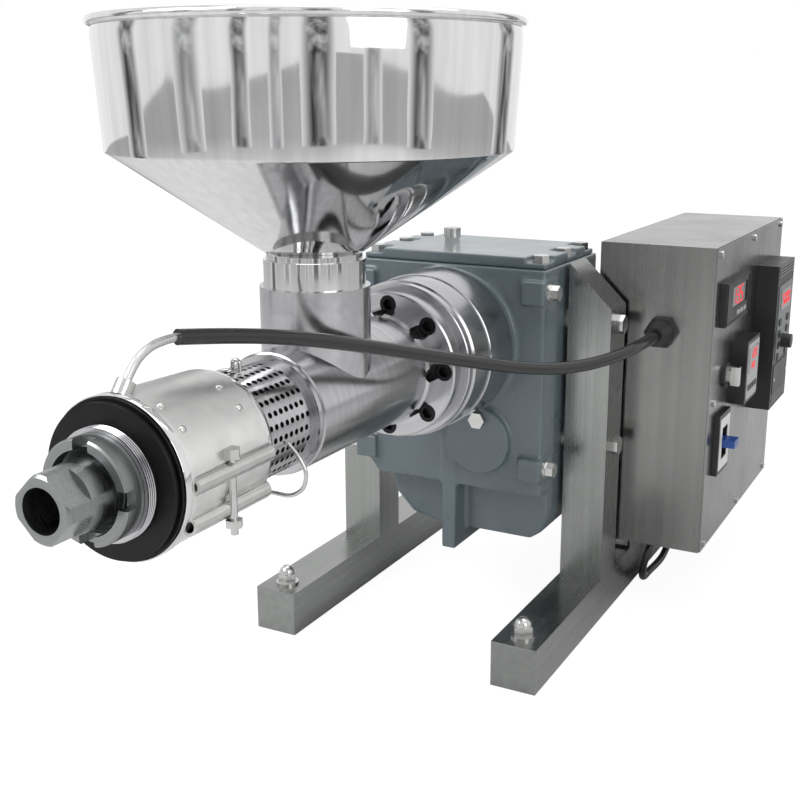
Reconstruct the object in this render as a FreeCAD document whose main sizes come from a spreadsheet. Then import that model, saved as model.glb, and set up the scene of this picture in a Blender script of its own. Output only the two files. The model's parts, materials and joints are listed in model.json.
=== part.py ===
import FreeCAD, Part
import math
import os
import re

import Sketcher

# A screw oil press on a two-legged stand.  Millimetres, +Z up, -Y towards the nozzle.
# The row origin is under the middle of the machine, on the surface it stands on.
# Most places are given from the press axis (X, Z) and from the front face of the
# uprights (Y); "ahead" is a distance from that face towards the nozzle.

Vector = FreeCAD.Vector
Rotation = FreeCAD.Rotation
Placement = FreeCAD.Placement

doc = FreeCAD.newDocument("screw_oil_press")

# ---------------------------------------------------------------- dimensions
CELLS = [
    # place of the press in the row frame
    ("press_x", -61.5, "press axis, left of the row origin"),
    ("press_z", 328, "press axis above the ground"),
    ("post_y", 132, "front face of the uprights"),
    # stand
    ("tube_side", 50, "square tube"),
    ("tube_wall", 3, "tube wall"),
    ("post_inner", 121.5, "press axis to the inner face of an upright"),
    ("post_low_top", 368, "outer top edge of an upright"),
    ("post_high_top", 416.5, "inner top edge of an upright"),
    ("rail_front", 198, "rail ahead of the uprights"),
    ("rail_rear", 402, "rail behind the front face of the uprights"),
    ("foot_inset", 25, "foot stud from the rail end"),
    ("stud_radius", 6, "M12"),
    ("washer_radius", 13, "washer"),
    ("washer_thick", 2.5, "washer"),
    ("nut_flats", 19, "acorn nut across flats"),
    ("nut_height", 10, "hexagon part of the acorn nut"),
    ("mount_bolt_rise", 20, "upper gearbox bolt above the press axis"),
    ("mount_bolt_drop", 120, "lower gearbox bolt below the press axis"),
    ("gap_side", 6.5, "gearbox side to upright"),
    # gearbox casting
    ("gear_front", 56, "front face ahead of the uprights"),
    ("gear_rear", 110, "rear face behind the front of the uprights"),
    ("gear_half", 115, "half width"),
    ("gear_top", 86, "top joint face above the press axis"),
    ("gear_bottom", 229, "bottom below the press axis"),
    ("gear_wall", 10, "casting wall"),
    ("gear_waist", 137, "where the lower part starts to narrow, below the axis"),
    ("belly_step", 24, "lower front set back"),
    ("belly_drop", 155, "top of the set-back part below the axis"),
    ("rib_half", 9, "half width of the front rib"),
    ("rib_x", 3, "front rib right of the axis"),
    ("rib_drop", 248, "rib bottom below the axis"),
    ("boss_radius", 82, "output boss"),
    ("boss_front", 67, "output boss ahead of the uprights"),
    ("input_x", 41, "motor axis right of the press axis"),
    ("input_drop", 110, "motor axis below the press axis"),
    ("input_boss_radius", 39, "front bearing boss"),
    ("input_boss_front", 66, "front bearing boss"),
    ("lay_x", 27.642, "layshaft left of the press axis"),
    ("lay_drop", 88.273, "layshaft below the press axis"),
    ("lug_size", 27, "square plug lug"),
    ("lug_front", 64, "lug front face"),
    ("lug_high", 62, "centre of the upper lugs above the axis"),
    ("lug_low", 137, "centre of the lower lugs below the axis"),
    ("cover_thick", 12, "top cover"),
    ("cover_front", 48, "top cover ahead of the uprights"),
    ("cover_half", 112, "top cover half width"),
    # gears
    ("module_slow", 2.5, "slow pair"),
    ("module_fast", 2, "fast pair"),
    ("teeth_output", 60, "output gear"),
    ("teeth_lay_pinion", 14, "layshaft pinion"),
    ("teeth_lay_gear", 58, "layshaft gear"),
    ("teeth_input", 14, "motor pinion"),
    ("slow_front", 20, "slow pair front ahead of the uprights"),
    ("slow_width", 30, "slow pair face width"),
    ("fast_rear", 66, "fast pair rear behind the front of the uprights"),
    ("fast_width", 24, "fast pair face width"),
    ("output_radius", 30, "output shaft"),
    ("shaft_radius", 10, "layshaft and motor shaft"),
    ("running_gap", 0.06, "radial clearance of a running fit"),
    # bearing housings ahead of the gearbox
    ("thrust_front", 125, "thrust bearing housing front"),
    ("thrust_radius", 84.5, "thrust bearing housing"),
    ("adapter_front", 171, "adapter ring front"),
    ("adapter_radius", 83, "adapter ring"),
    # barrel
    ("flange_front", 194, "barrel flange front"),
    ("flange_radius", 75.5, "barrel flange"),
    ("hub_front", 216, "hub front"),
    ("hub_radius", 58, "hub"),
    ("barrel_radius", 55, "barrel"),
    ("barrel_front", 380, "barrel front"),
    ("bore_radius", 26, "barrel bore"),
    ("bolt_circle", 63.5, "flange bolt circle radius"),
    ("counterbore", 9.3, "counterbore radius of the flange bolts"),
    ("feed_ahead", 329, "feed tube ahead of the uprights"),
    ("feed_radius", 50, "feed tube"),
    ("feed_bore", 40, "feed tube bore"),
    ("feed_top", 104, "feed tube top above the axis"),
    ("throat_radius", 21, "throat into the barrel"),
    ("joint_front", 409, "joint ring front"),
    ("cage_front", 481, "oil cage front"),
    ("cage_radius", 48, "oil cage"),
    ("cage_inner", 26, "oil cage bore"),
    ("hole_radius", 1.9, "oil hole"),
    ("hole_pitch", 7.6, "oil hole pitch along the cage"),
    ("head_radius", 53, "press head behind the heater"),
    ("head_front", 596, "press head front"),
    ("band_rear", 493, "heater band rear"),
    ("band_front", 593, "heater band front"),
    ("band_rear_radius", 59.5, "heater band rear radius"),
    ("band_front_radius", 63.5, "heater band front radius"),
    ("ring_front", 608, "black head ring front"),
    ("ring_radius", 62, "black head ring"),
    ("snout_front", 617, "threaded snout front"),
    ("snout_radius", 43, "threaded snout"),
    ("lock_front", 635, "castellated nut front"),
    ("lock_radius", 40, "castellated nut"),
    ("lock_bore", 32, "castellated nut bore"),
    ("lock_slot", 14, "nut slot width"),
    ("lock_slot_deep", 9, "nut slot depth"),
    ("nozzle_front", 675, "nozzle tip"),
    ("nozzle_radius", 25.5, "nozzle"),
    ("nozzle_bore", 17, "nozzle bore"),
    ("nozzle_flats", 43, "nozzle across flats"),
    ("screw_radius", 25.2, "press screw over the flights"),
    ("root_rear", 13, "screw root at the feed"),
    ("root_front", 18.5, "screw root at the head"),
    ("shank_radius", 18, "screw shank"),
    ("flight_pitch", 37, "pitch of the flights"),
    # hopper
    ("collar_base", 432, "hopper collar base, above the ground"),
    ("collar_top", 456, "hopper collar top"),
    ("collar_radius", 46, "hopper collar"),
    ("neck_radius", 43, "hopper neck"),
    ("knee_height", 551, "where the cone meets the wall"),
    ("knee_radius", 177, "bowl at the knee"),
    ("rim_height", 661, "hopper rim"),
    ("rim_radius", 184, "bowl at the rim"),
    ("sheet_thick", 2, "hopper sheet"),
    ("bead_radius", 4, "rolled rim"),
    # control box
    ("box_left", 137.4, "box left face right of the press axis"),
    ("box_right", 270.4, "panel face right of the press axis"),
    ("box_front", 57, "box front behind the front of the uprights"),
    ("box_rear", 411, "box rear"),
    ("box_bottom", 81.4, "box bottom above the ground"),
    ("box_top", 434.7, "box top above the ground"),
    ("box_wall", 2, "box sheet"),
    ("meter_y", 137, "meter centre"),
    ("meter_z", 368, "meter centre"),
    ("meter_long", 112, "meter bezel"),
    ("meter_tall", 50, "meter bezel"),
    ("meter_proud", 7, "meter bezel stands out"),
    ("timer_y", 188, "temperature controller centre"),
    ("timer_z", 276, "temperature controller centre"),
    ("timer_long", 65, "temperature controller"),
    ("timer_tall", 76, "temperature controller"),
    ("timer_proud", 18, "temperature controller stands out"),
    ("selector_y", 122, "selector centre"),
    ("selector_z", 280, "selector centre"),
    ("selector_radius", 15, "selector bezel"),
    ("breaker_y", 116, "breaker centre"),
    ("breaker_z", 202, "breaker centre"),
    ("breaker_long", 52, "breaker frame"),
    ("breaker_tall", 72, "breaker frame"),
    ("drive_y", 322, "frequency drive centre"),
    ("drive_z", 296, "frequency drive centre"),
    ("drive_long", 100, "frequency drive"),
    ("drive_tall", 184, "frequency drive"),
    ("drive_proud", 26, "frequency drive stands out"),
    ("dial_y", 318, "speed dial"),
    ("dial_z", 287, "speed dial"),
    ("dial_radius", 9, "speed dial"),
    ("dial_proud", 13, "speed dial stands out of the drive"),
    ("gland_x", 212.5, "cable gland right of the press axis"),
    ("gland_z", 337.5, "cable gland above the ground"),
    ("lead_x", 212, "motor lead gland right of the press axis"),
    ("lead_y", 200, "motor lead gland behind the front of the uprights"),
    ("hose_radius", 6.4, "heater cable"),
    ("braid_radius", 3.5, "braided sleeve"),
    ("lead_radius", 4.5, "motor lead"),
    ("wire_radius", 1.8, "drip wire"),
    # motor
    ("motor_front", 122, "motor flange rear face"),
    ("motor_rear", 300, "motor frame rear"),
    ("motor_radius", 72, "motor frame"),
    ("fin_radius", 80, "motor fins"),
    ("cowl_rear", 350, "fan cowl rear"),
]

ALIASES = {name for name, value, note in CELLS}


def make_sheet():
    """Put every driving dimension in its own named cell."""
    table = doc.addObject("Spreadsheet::Sheet", "dims")
    for row, (name, value, note) in enumerate(CELLS, start=1):
        table.set("A%d" % row, note)
        table.set("B%d" % row, str(value))
        table.setAlias("B%d" % row, name)
    doc.recompute()
    return table


dims = make_sheet()
working = doc.addObject("Spreadsheet::Sheet", "working")


def spell(text):
    """Write an expression with each dimension's full name."""
    return re.sub(r"[a-z_]+", lambda word: "dims." + word.group()
                  if word.group() in ALIASES else word.group(), text)


def bind(thing, prop, text):
    thing.setExpression(prop, spell(str(text)))


def numbers(texts):
    """Work expressions out in a second sheet that nothing depends on."""
    for row, text in enumerate(texts, start=1):
        working.set("A%d" % row, "=" + spell(str(text)))
    working.recompute()
    return [float(working.get("A%d" % row)) for row in range(1, len(texts) + 1)]


def number(text):
    return numbers([text])[0]


# ---------------------------------------------------------------- modelling helpers
AHEAD = Rotation(Vector(0, 0, 1), -90)      # local +X points towards the nozzle
LEVEL = Rotation()


def seat(thing, base, turn=LEVEL):
    """Bind a thing's place to the sheet."""
    x, y, z = numbers(base)
    thing.Placement = Placement(Vector(x, y, z), turn)
    for axis, text in zip("xyz", base):
        bind(thing, "Placement.Base." + axis, text)


AXIS = ("press_x", "post_y", "press_z")     # on the press axis at the uprights
GROUND = ("press_x", "post_y", "0")         # below it, on the ground
MOTOR = ("press_x + input_x", "post_y", "press_z - input_drop")
LAY = ("press_x - lay_x", "post_y", "press_z - lay_drop")


def new_body(label, base, turn=LEVEL):
    thing = doc.addObject("PartDesign::Body", label)
    thing.Label = label
    seat(thing, base, turn)
    return thing


def new_sketch(thing, plane, shift="0", spin=0):
    """A sketch on an origin plane of its own body, moved along the plane's normal."""
    sketch = thing.newObject("Sketcher::SketchObject", thing.Name + "_sketch")
    face = [item for item in thing.Origin.OriginFeatures if item.Role == plane][0]
    sketch.AttachmentSupport = [(face, "")]
    sketch.MapMode = "FlatFace"
    sketch.AttachmentOffset = Placement(Vector(0, 0, number(shift)), Rotation(spin, 0, 0))
    bind(sketch, "AttachmentOffset.Base.z", shift)
    return sketch


def add_loop(sketch, corners):
    """A closed outline with every corner held by two named sizes."""
    flat = [text for corner in corners for text in corner]
    values = numbers(flat)
    points = [Vector(values[i], values[i + 1], 0) for i in range(0, len(values), 2)]
    first = sketch.GeometryCount
    count = len(points)
    for i in range(count):
        sketch.addGeometry(Part.LineSegment(points[i], points[(i + 1) % count]), False)
    for i in range(count):
        line, following = first + i, first + (i + 1) % count
        sketch.addConstraint(Sketcher.Constraint("Coincident", line, 2, following, 1))
    for i, (across, up) in enumerate(corners):
        for kind, text, value in (("DistanceX", across, points[i].x), ("DistanceY", up, points[i].y)):
            held = sketch.addConstraint(Sketcher.Constraint(kind, -1, 1, first + i, 1, value))
            bind(sketch, "Constraints[%d]" % held, text)


def add_circle(sketch, across, up, radius):
    x, y, r = numbers([across, up, radius])
    ring = sketch.addGeometry(Part.Circle(Vector(x, y, 0), Vector(0, 0, 1), r), False)
    for kind, text, value in (("DistanceX", across, x), ("DistanceY", up, y)):
        held = sketch.addConstraint(Sketcher.Constraint(kind, -1, 1, ring, 3, value))
        bind(sketch, "Constraints[%d]" % held, text)
    held = sketch.addConstraint(Sketcher.Constraint("Radius", ring, r))
    bind(sketch, "Constraints[%d]" % held, radius)


def rectangle(left, low, right, high):
    return [(left, low), (right, low), (right, high), (left, high)]


def hexagon(across, up, flats):
    """Corners of a hexagon standing on a point, from its width across flats."""
    half = "(%s) / 2" % flats
    reach = "(%s) / sqrt(3)" % flats
    return [("%s" % across, "%s - %s" % (up, reach)),
            ("%s + %s" % (across, half), "%s - %s / 2" % (up, reach)),
            ("%s + %s" % (across, half), "%s + %s / 2" % (up, reach)),
            ("%s" % across, "%s + %s" % (up, reach)),
            ("%s - %s" % (across, half), "%s + %s / 2" % (up, reach)),
            ("%s - %s" % (across, half), "%s - %s / 2" % (up, reach))]


def feature(thing, kind, sketch, length, back=False):
    item = thing.newObject("PartDesign::" + kind, thing.Name + "_" + kind.lower())
    item.Profile = sketch
    bind(item, "Length", length)
    item.Reversed = back
    sketch.Visibility = False
    thing.Tip = item
    return item


def pad(thing, plane, corners, length, shift="0", back=False):
    sketch = new_sketch(thing, plane, shift)
    add_loop(sketch, corners)
    return feature(thing, "Pad", sketch, length, back)


def pad_round(thing, plane, circles, length, shift="0", back=False):
    sketch = new_sketch(thing, plane, shift)
    for across, up, radius in circles:
        add_circle(sketch, across, up, radius)
    return feature(thing, "Pad", sketch, length, back)


def cut(thing, plane, corners, length, shift="0", back=False):
    """A pocket; it has to take material away."""
    sketch = new_sketch(thing, plane, shift)
    add_loop(sketch, corners)
    return checked_cut(thing, sketch, length, back)


def cut_round(thing, plane, circles, length, shift="0", back=False):
    sketch = new_sketch(thing, plane, shift)
    for across, up, radius in circles:
        add_circle(sketch, across, up, radius)
    return checked_cut(thing, sketch, length, back)


def checked_cut(thing, sketch, length, back):
    doc.recompute()
    before = thing.Shape.Volume
    item = feature(thing, "Pocket", sketch, length, back)
    doc.recompute()
    if thing.Shape.Volume > before - 1:
        raise RuntimeError("a pocket in %s cuts nothing" % thing.Label)
    return item


def turn_profile(thing, corners, kind="Revolution"):
    """Turn an outline in the local XY plane about the local X axis."""
    sketch = new_sketch(thing, "XY_Plane")
    add_loop(sketch, corners)
    item = thing.newObject("PartDesign::" + kind, thing.Name + "_" + kind.lower())
    item.Profile = sketch
    item.ReferenceAxis = (sketch, ["H_Axis"])
    item.Angle = 360
    sketch.Visibility = False
    thing.Tip = item
    return item


def polar(thing, item, axis_role, count):
    pattern = thing.newObject("PartDesign::PolarPattern", thing.Name + "_ring")
    pattern.Originals = [item]
    axis = [part for part in thing.Origin.OriginFeatures if part.Role == axis_role][0]
    pattern.Axis = (axis, [""])
    pattern.Angle = 360
    pattern.Occurrences = count
    thing.Tip = pattern
    return pattern


def group(label, shapes, turn=LEVEL):
    """Several loose solids of one kind in one node."""
    thing = doc.addObject("Part::Feature", label)
    thing.Label = label
    thing.Shape = Part.makeCompound(shapes)
    thing.Placement = Placement(Vector(0, 0, 0), turn)
    return thing


def spot(x, y, z):
    return Vector(*numbers([x, y, z]))


def rod(x, y, z, radius, length, direction):
    """A round bar from a named place along a direction."""
    return Part.makeCylinder(number(radius), number(length), spot(x, y, z), Vector(*direction))


def hex_bar(x, y, z, flats, length, direction):
    """A hexagonal bar from a named place along a direction."""
    along = Vector(*direction)
    reach = number(flats) / math.sqrt(3)
    corners = [Vector(reach * math.cos(math.radians(60 * i)), reach * math.sin(math.radians(60 * i)), 0)
               for i in range(7)]
    bar = Part.Face(Part.makePolygon(corners)).extrude(Vector(0, 0, number(length)))
    bar.Placement = Placement(spot(x, y, z), Rotation(Vector(0, 0, 1), along))
    return bar


RIGHT, LEFT = (1, 0, 0), (-1, 0, 0)
FRONT, BACK = (0, -1, 0), (0, 1, 0)
UP, DOWN = (0, 0, 1), (0, 0, -1)


# ---------------------------------------------------------------- stand
def rail(label, side):
    """A square tube along Y, closed at both ends, drilled for its two foot studs."""
    thing = new_body(label, GROUND)
    inner, outer = "%d * post_inner" % side, "%d * (post_inner + tube_side)" % side
    wall = "%d * tube_wall" % side
    pad(thing, "XZ_Plane", rectangle(inner, "0", outer, "tube_side"), "rail_front + rail_rear",
        "rail_front", back=True)
    cut(thing, "XZ_Plane", rectangle("%s + %s" % (inner, wall), "tube_wall", "%s - %s" % (outer, wall),
                                     "tube_side - tube_wall"), "rail_front + rail_rear - 2 * tube_wall",
        "rail_front - tube_wall")
    middle = "%d * (post_inner + tube_side / 2)" % side
    holes = [(middle, "foot_inset - rail_front", "stud_radius + 0.2"),
             (middle, "rail_rear - foot_inset", "stud_radius + 0.2")]
    cut_round(thing, "XY_Plane", holes, "tube_side + 2", "tube_side + 1")
    return thing


def upright(label, side):
    """A square tube standing on its rail, closed by a sloping top, drilled for the gearbox bolts."""
    thing = new_body(label, GROUND)
    inner, outer = "%d * post_inner" % side, "%d * (post_inner + tube_side)" % side
    wall = "%d * tube_wall" % side
    pad(thing, "XZ_Plane", [(inner, "tube_side"), (outer, "tube_side"), (outer, "post_low_top"),
                            (inner, "post_high_top")], "tube_side", back=True)
    cut(thing, "XZ_Plane", [("%s + %s" % (inner, wall), "tube_side - 1"),
                            ("%s - %s" % (outer, wall), "tube_side - 1"),
                            ("%s - %s" % (outer, wall), "post_low_top - tube_wall"),
                            ("%s + %s" % (inner, wall), "post_high_top - 2.3 * tube_wall")],
        "tube_side - 2 * tube_wall", "-tube_wall")
    holes = [("tube_side / 2", "press_z + mount_bolt_rise", "stud_radius + 0.2"),
             ("tube_side / 2", "press_z - mount_bolt_drop", "stud_radius + 0.2")]
    shift = "post_inner - 1" if side > 0 else "-post_inner - tube_side - 1"
    cut_round(thing, "YZ_Plane", holes, "tube_side + 2", shift, back=True)
    return thing


def foot_places():
    """The four foot studs, on the rail top."""
    return [("press_x + %d * (post_inner + tube_side / 2)" % side, along, "tube_side")
            for side in (-1, 1)
            for along in ("post_y - rail_front + foot_inset", "post_y + rail_rear - foot_inset")]


def acorn_nut(x, y, z):
    """A domed cap nut, blind from below."""
    base = "%s + washer_thick" % z
    body = hex_bar(x, y, base, "nut_flats", "nut_height", UP)
    dome = Part.makeSphere(number("nut_flats / 2 - 0.4"), spot(x, y, "%s + nut_height" % base))
    bore = rod(x, y, "%s - 1" % base, "stud_radius + 0.1", "nut_height + 3", UP)
    return body.fuse(dome).cut(bore).removeSplitter()


def stand():
    rail("left_rail", -1)
    rail("right_rail", 1)
    upright("left_upright", -1)
    upright("right_upright", 1)
    places = foot_places()
    group("foot_studs", [rod(x, y, "0", "stud_radius", "tube_side + washer_thick + nut_height", UP)
                         for x, y, z in places])
    washers = [rod(x, y, z, "washer_radius", "washer_thick", UP)
               .cut(rod(x, y, "%s - 1" % z, "stud_radius + 0.2", "washer_thick + 2", UP)) for x, y, z in places]
    group("acorn_nuts", [acorn_nut(x, y, z) for x, y, z in places] + washers)
    bolts, spacers = [], []
    for side, way in ((1, LEFT), (-1, RIGHT)):
        for rise in ("mount_bolt_rise", "-mount_bolt_drop"):
            head = ("press_x + %d * (post_inner + tube_side)" % side, "post_y + tube_side / 2",
                    "press_z + %s" % rise)
            out = (-way[0], 0, 0)
            screw = rod(*head, "stud_radius", "tube_side + gap_side + gear_wall", way)
            bolts.append(screw.fuse(hex_bar(*head, "nut_flats", "8", out)))
            face = "press_x + %d * post_inner" % side
            ring = rod(face, head[1], head[2], "washer_radius", "gap_side", way)
            spacers.append(ring.cut(rod(face, head[1], head[2], "stud_radius + 0.2", "gap_side", way)))
    group("gearbox_bolts", bolts + spacers)


# ---------------------------------------------------------------- gearbox
def gearbox_housing():
    """The casting: a waisted box with a round output boss, bearing boss, rib and plug lugs."""
    thing = new_body("gearbox_housing", AXIS)
    depth = "gear_front + gear_rear"
    outline = [("-gear_half", "gear_top"), ("-gear_half", "-gear_waist"), ("-gear_half + 30", "-gear_waist - 40"),
               ("-gear_half + 36", "-gear_waist - 62"), ("-gear_half + 58", "-gear_bottom + 8"),
               ("-gear_half + 92", "-gear_bottom"), ("gear_half - 20", "-gear_bottom"),
               ("gear_half - 6", "-gear_bottom + 10"), ("gear_half", "-gear_bottom + 30"),
               ("gear_half", "gear_top")]
    pad(thing, "XZ_Plane", outline, depth, "gear_front", back=True)
    for left, right in (("-gear_half - 5", "rib_x - rib_half"), ("rib_x + rib_half", "gear_half + 5")):
        corners = [(left, "-belly_drop - 14"), (right, "-belly_drop - 14"), (right, "-gear_bottom - 5"),
                   (left, "-gear_bottom - 5")]
        cut(thing, "XZ_Plane", corners, "belly_step", "gear_front")
    rib = [("rib_x - rib_half", "-input_drop"), ("rib_x + rib_half", "-input_drop"),
           ("rib_x + rib_half", "-rib_drop"), ("rib_x - rib_half", "-rib_drop")]
    pad(thing, "XZ_Plane", rib, "gear_front + 30", "gear_front + 2", back=True)
    pad_round(thing, "XZ_Plane", [("0", "0", "boss_radius")], "boss_front - gear_front + 5", "gear_front - 5")
    pad_round(thing, "XZ_Plane", [("input_x", "-input_drop", "input_boss_radius")],
              "input_boss_front - gear_front + 5", "gear_front - 5")
    for side in (-1, 1):
        for height in ("lug_high", "-lug_low"):
            edge = "%d * (gear_half + 2)" % side
            inner = "%s - %d * lug_size" % (edge, side)
            pad(thing, "XZ_Plane", rectangle(inner, "%s - lug_size / 2" % height, edge,
                                             "%s + lug_size / 2" % height), "lug_front - gear_front + 30",
                "lug_front", back=True)
    hollow = [("-gear_half + gear_wall", "gear_top + 1"), ("-gear_half + gear_wall", "-gear_waist"),
              ("-gear_half + gear_wall + 30", "-gear_waist - 40"),
              ("-gear_half + 68", "-gear_bottom + gear_wall + 6"), ("gear_half - 24", "-gear_bottom + gear_wall"),
              ("gear_half - gear_wall", "-gear_bottom + 34"), ("gear_half - gear_wall", "gear_top + 1")]
    cut(thing, "XZ_Plane", hollow, "gear_rear - gear_wall + gear_front - belly_step - gear_wall",
        "gear_front - belly_step - gear_wall")
    upper = [("-gear_half + gear_wall", "gear_top + 1"), ("-gear_half + gear_wall", "-gear_waist"),
             ("gear_half - gear_wall", "-gear_waist"), ("gear_half - gear_wall", "gear_top + 1")]
    cut(thing, "XZ_Plane", upper, "belly_step + 1", "gear_front - gear_wall")
    cut_round(thing, "XZ_Plane", [("0", "0", "50")], "boss_front - gear_front + gear_wall + 2", "boss_front + 1")
    cut_round(thing, "XZ_Plane", [("0", "0", "40"), ("input_x", "-input_drop", "14.05")],
              "gear_wall + 2", "-gear_rear + gear_wall + 1")
    cut_round(thing, "XZ_Plane", [("input_x", "-input_drop", "20")], "16", "input_boss_front - 4")
    cut_round(thing, "XZ_Plane", [("-lay_x", "-lay_drop", "22")], "7", "gear_front - 4")
    cut_round(thing, "XZ_Plane", [("-lay_x", "-lay_drop", "22")], "5", "-gear_rear + gear_wall + 1")
    bolts = [("tube_side / 2", "mount_bolt_rise", "stud_radius"), ("tube_side / 2", "-mount_bolt_drop", "stud_radius")]
    cut_round(thing, "YZ_Plane", bolts, "gear_wall + 2", "gear_half + 1")
    cut_round(thing, "YZ_Plane", bolts, "gear_wall + 2", "-gear_half - 1", back=True)
    return thing


def gearbox_cover():
    """The top cover: a plate with a raised middle and six open bolt notches."""
    thing = new_body("gearbox_cover", ("press_x", "post_y", "press_z + gear_top"))
    pad(thing, "XY_Plane", rectangle("-cover_half", "-cover_front", "cover_half", "gear_rear - 6"), "cover_thick")
    for side in (-1, 1):
        for place in ("-cover_front", "20", "gear_rear - 34"):
            edge, inner = "%d * (cover_half + 2)" % side, "%d * (cover_half - 24)" % side
            cut(thing, "XY_Plane", rectangle(edge, place, inner, "%s + 28" % place), "cover_thick",
                "cover_thick / 2", back=True)
    return thing


def gear(thing, teeth, module, width, shift):
    """A toothed wheel: a disc at the root circle and one straight-sided tooth, repeated."""
    root = "%s * %s / 2 - 1.2 * %s" % (teeth, module, module)
    pad_round(thing, "XZ_Plane", [("0", "0", root)], width, shift, back=True)
    tip = "%s * %s / 2 + 0.85 * %s" % (teeth, module, module)
    tooth = [("-0.78 * %s" % module, "%s - 0.6" % root), ("0.78 * %s" % module, "%s - 0.6" % root),
             ("0.3 * %s" % module, tip), ("-0.3 * %s" % module, tip)]
    item = pad(thing, "XZ_Plane", tooth, width, shift, back=True)
    polar(thing, item, "Y_Axis", int(number(teeth)))


def gear_turn(base, towards, teeth, on_tooth):
    """The turn about Y that puts a tooth, or a gap, on the line to the next wheel."""
    here, there = spot(*base), spot(*towards)
    angle = math.degrees(math.atan2(there.x - here.x, there.z - here.z))
    half = 0 if on_tooth else 180 / number(teeth)
    return Rotation(Vector(0, 1, 0), angle + half)


def gear_train():
    """Two pairs of wheels from the motor shaft up to the press screw."""
    output = new_body("output_gear", AXIS, gear_turn(AXIS, LAY, "teeth_output", True))
    gear(output, "teeth_output", "module_slow", "slow_width", "slow_front")
    pad_round(output, "XZ_Plane", [("0", "0", "output_radius")], "gear_rear + 118", "118", back=True)
    cut_round(output, "XZ_Plane", [("0", "0", "shank_radius + 0.05")], "119", "119")
    pinion = new_body("lay_pinion", LAY, gear_turn(LAY, AXIS, "teeth_lay_pinion", False))
    gear(pinion, "teeth_lay_pinion", "module_slow", "slow_width + 4", "slow_front + 2")
    pad_round(pinion, "XZ_Plane", [("0", "0", "shaft_radius")], "50 + gear_rear - 7", "50", back=True)
    wheel = new_body("lay_gear", LAY, gear_turn(LAY, MOTOR, "teeth_lay_gear", True))
    gear(wheel, "teeth_lay_gear", "module_fast", "fast_width", "-fast_rear + fast_width")
    cut_round(wheel, "XZ_Plane", [("0", "0", "shaft_radius")], "fast_width + 2", "-fast_rear + fast_width + 1")
    drive = new_body("motor_pinion", MOTOR, gear_turn(MOTOR, LAY, "teeth_input", False))
    gear(drive, "teeth_input", "module_fast", "fast_width + 4", "-fast_rear + fast_width + 2")
    cut_round(drive, "XZ_Plane", [("0", "0", "shaft_radius")], "fast_width + 6", "-fast_rear + fast_width + 3")
    shaft = new_body("motor_shaft", MOTOR)
    pad_round(shaft, "XZ_Plane", [("0", "0", "shaft_radius")], "60 + cowl_rear - 18", "60", back=True)


def ring(base, ahead, width, outer, inner):
    """A plain bearing or seal ring on an axis along Y."""
    x, y, z = base
    start = "%s - (%s)" % (y, ahead)
    body = rod(x, start, z, outer, width, BACK)
    return body.cut(rod(x, "%s - 1" % start, z, inner, "%s + 2" % width, BACK))


def bearings():
    fit = "output_radius + running_gap"
    small = "shaft_radius + running_gap"
    group("gearbox_bearings", [ring(AXIS, "66", "19", "49.95", fit), ring(AXIS, "-gear_rear + 13", "12.5", "39.95", fit),
                               ring(LAY, "52", "12", "21.95", small), ring(LAY, "-gear_rear + 18", "12", "21.95", small),
                               ring(MOTOR, "61.5", "14", "19.95", small),
                               ring(AXIS, "118", "30", "61.9", "output_radius + 0.5")])
    group("oil_seals", [ring(AXIS, "gear_front + 19", "7", "39.95", fit),
                        ring(MOTOR, "-gear_rear + 8", "7", "14", small)])
    x, y, z = AXIS
    cap = rod(x, "%s + gear_rear" % y, z, "44", "6", BACK)
    for i in range(4):
        angle = math.radians(45 + 90 * i)
        head = spot("%s + 36 * %.5f" % (x, math.sin(angle)), "%s + gear_rear + 6" % y,
                    "%s + 36 * %.5f" % (z, math.cos(angle)))
        cap = cap.fuse(Part.makeCylinder(5, 4, head, Vector(*BACK)))
    group("bearing_cap", [cap])


def gearbox_fittings():
    """Cover bolts, side plugs, drain plug and breather."""
    bolts = []
    top = "press_z + gear_top + cover_thick / 2"
    for side in (-1, 1):
        for place in ("-cover_front + 14", "34", "gear_rear - 20"):
            x, y = "press_x + %d * (cover_half - 11)" % side, "post_y + %s" % place
            bolts.append(hex_bar(x, y, top, "16", "8", UP))
    group("cover_bolts", bolts)
    plugs = []
    for side, way in ((1, RIGHT), (-1, LEFT)):
        for height in ("lug_high", "-lug_low"):
            place = ("press_x + %d * (gear_half + 2)" % side, "post_y - gear_front + 8", "press_z + %s" % height)
            collar = rod(*place, "10", "3", way)
            plugs.append(collar.fuse(hex_bar(*place, "15", "12", way)))
    plugs.append(hex_bar("press_x + input_x + 3", "post_y - input_boss_front", "press_z - 84", "17", "8", FRONT))
    x, y, z = "press_x - 40", "post_y + 36", "press_z + gear_top + cover_thick"
    stem = hex_bar(x, y, z, "17", "7", UP)
    plugs.append(stem.fuse(rod(x, y, "%s + 6" % z, "10", "11", UP)))
    group("oil_plugs", plugs)


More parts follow.
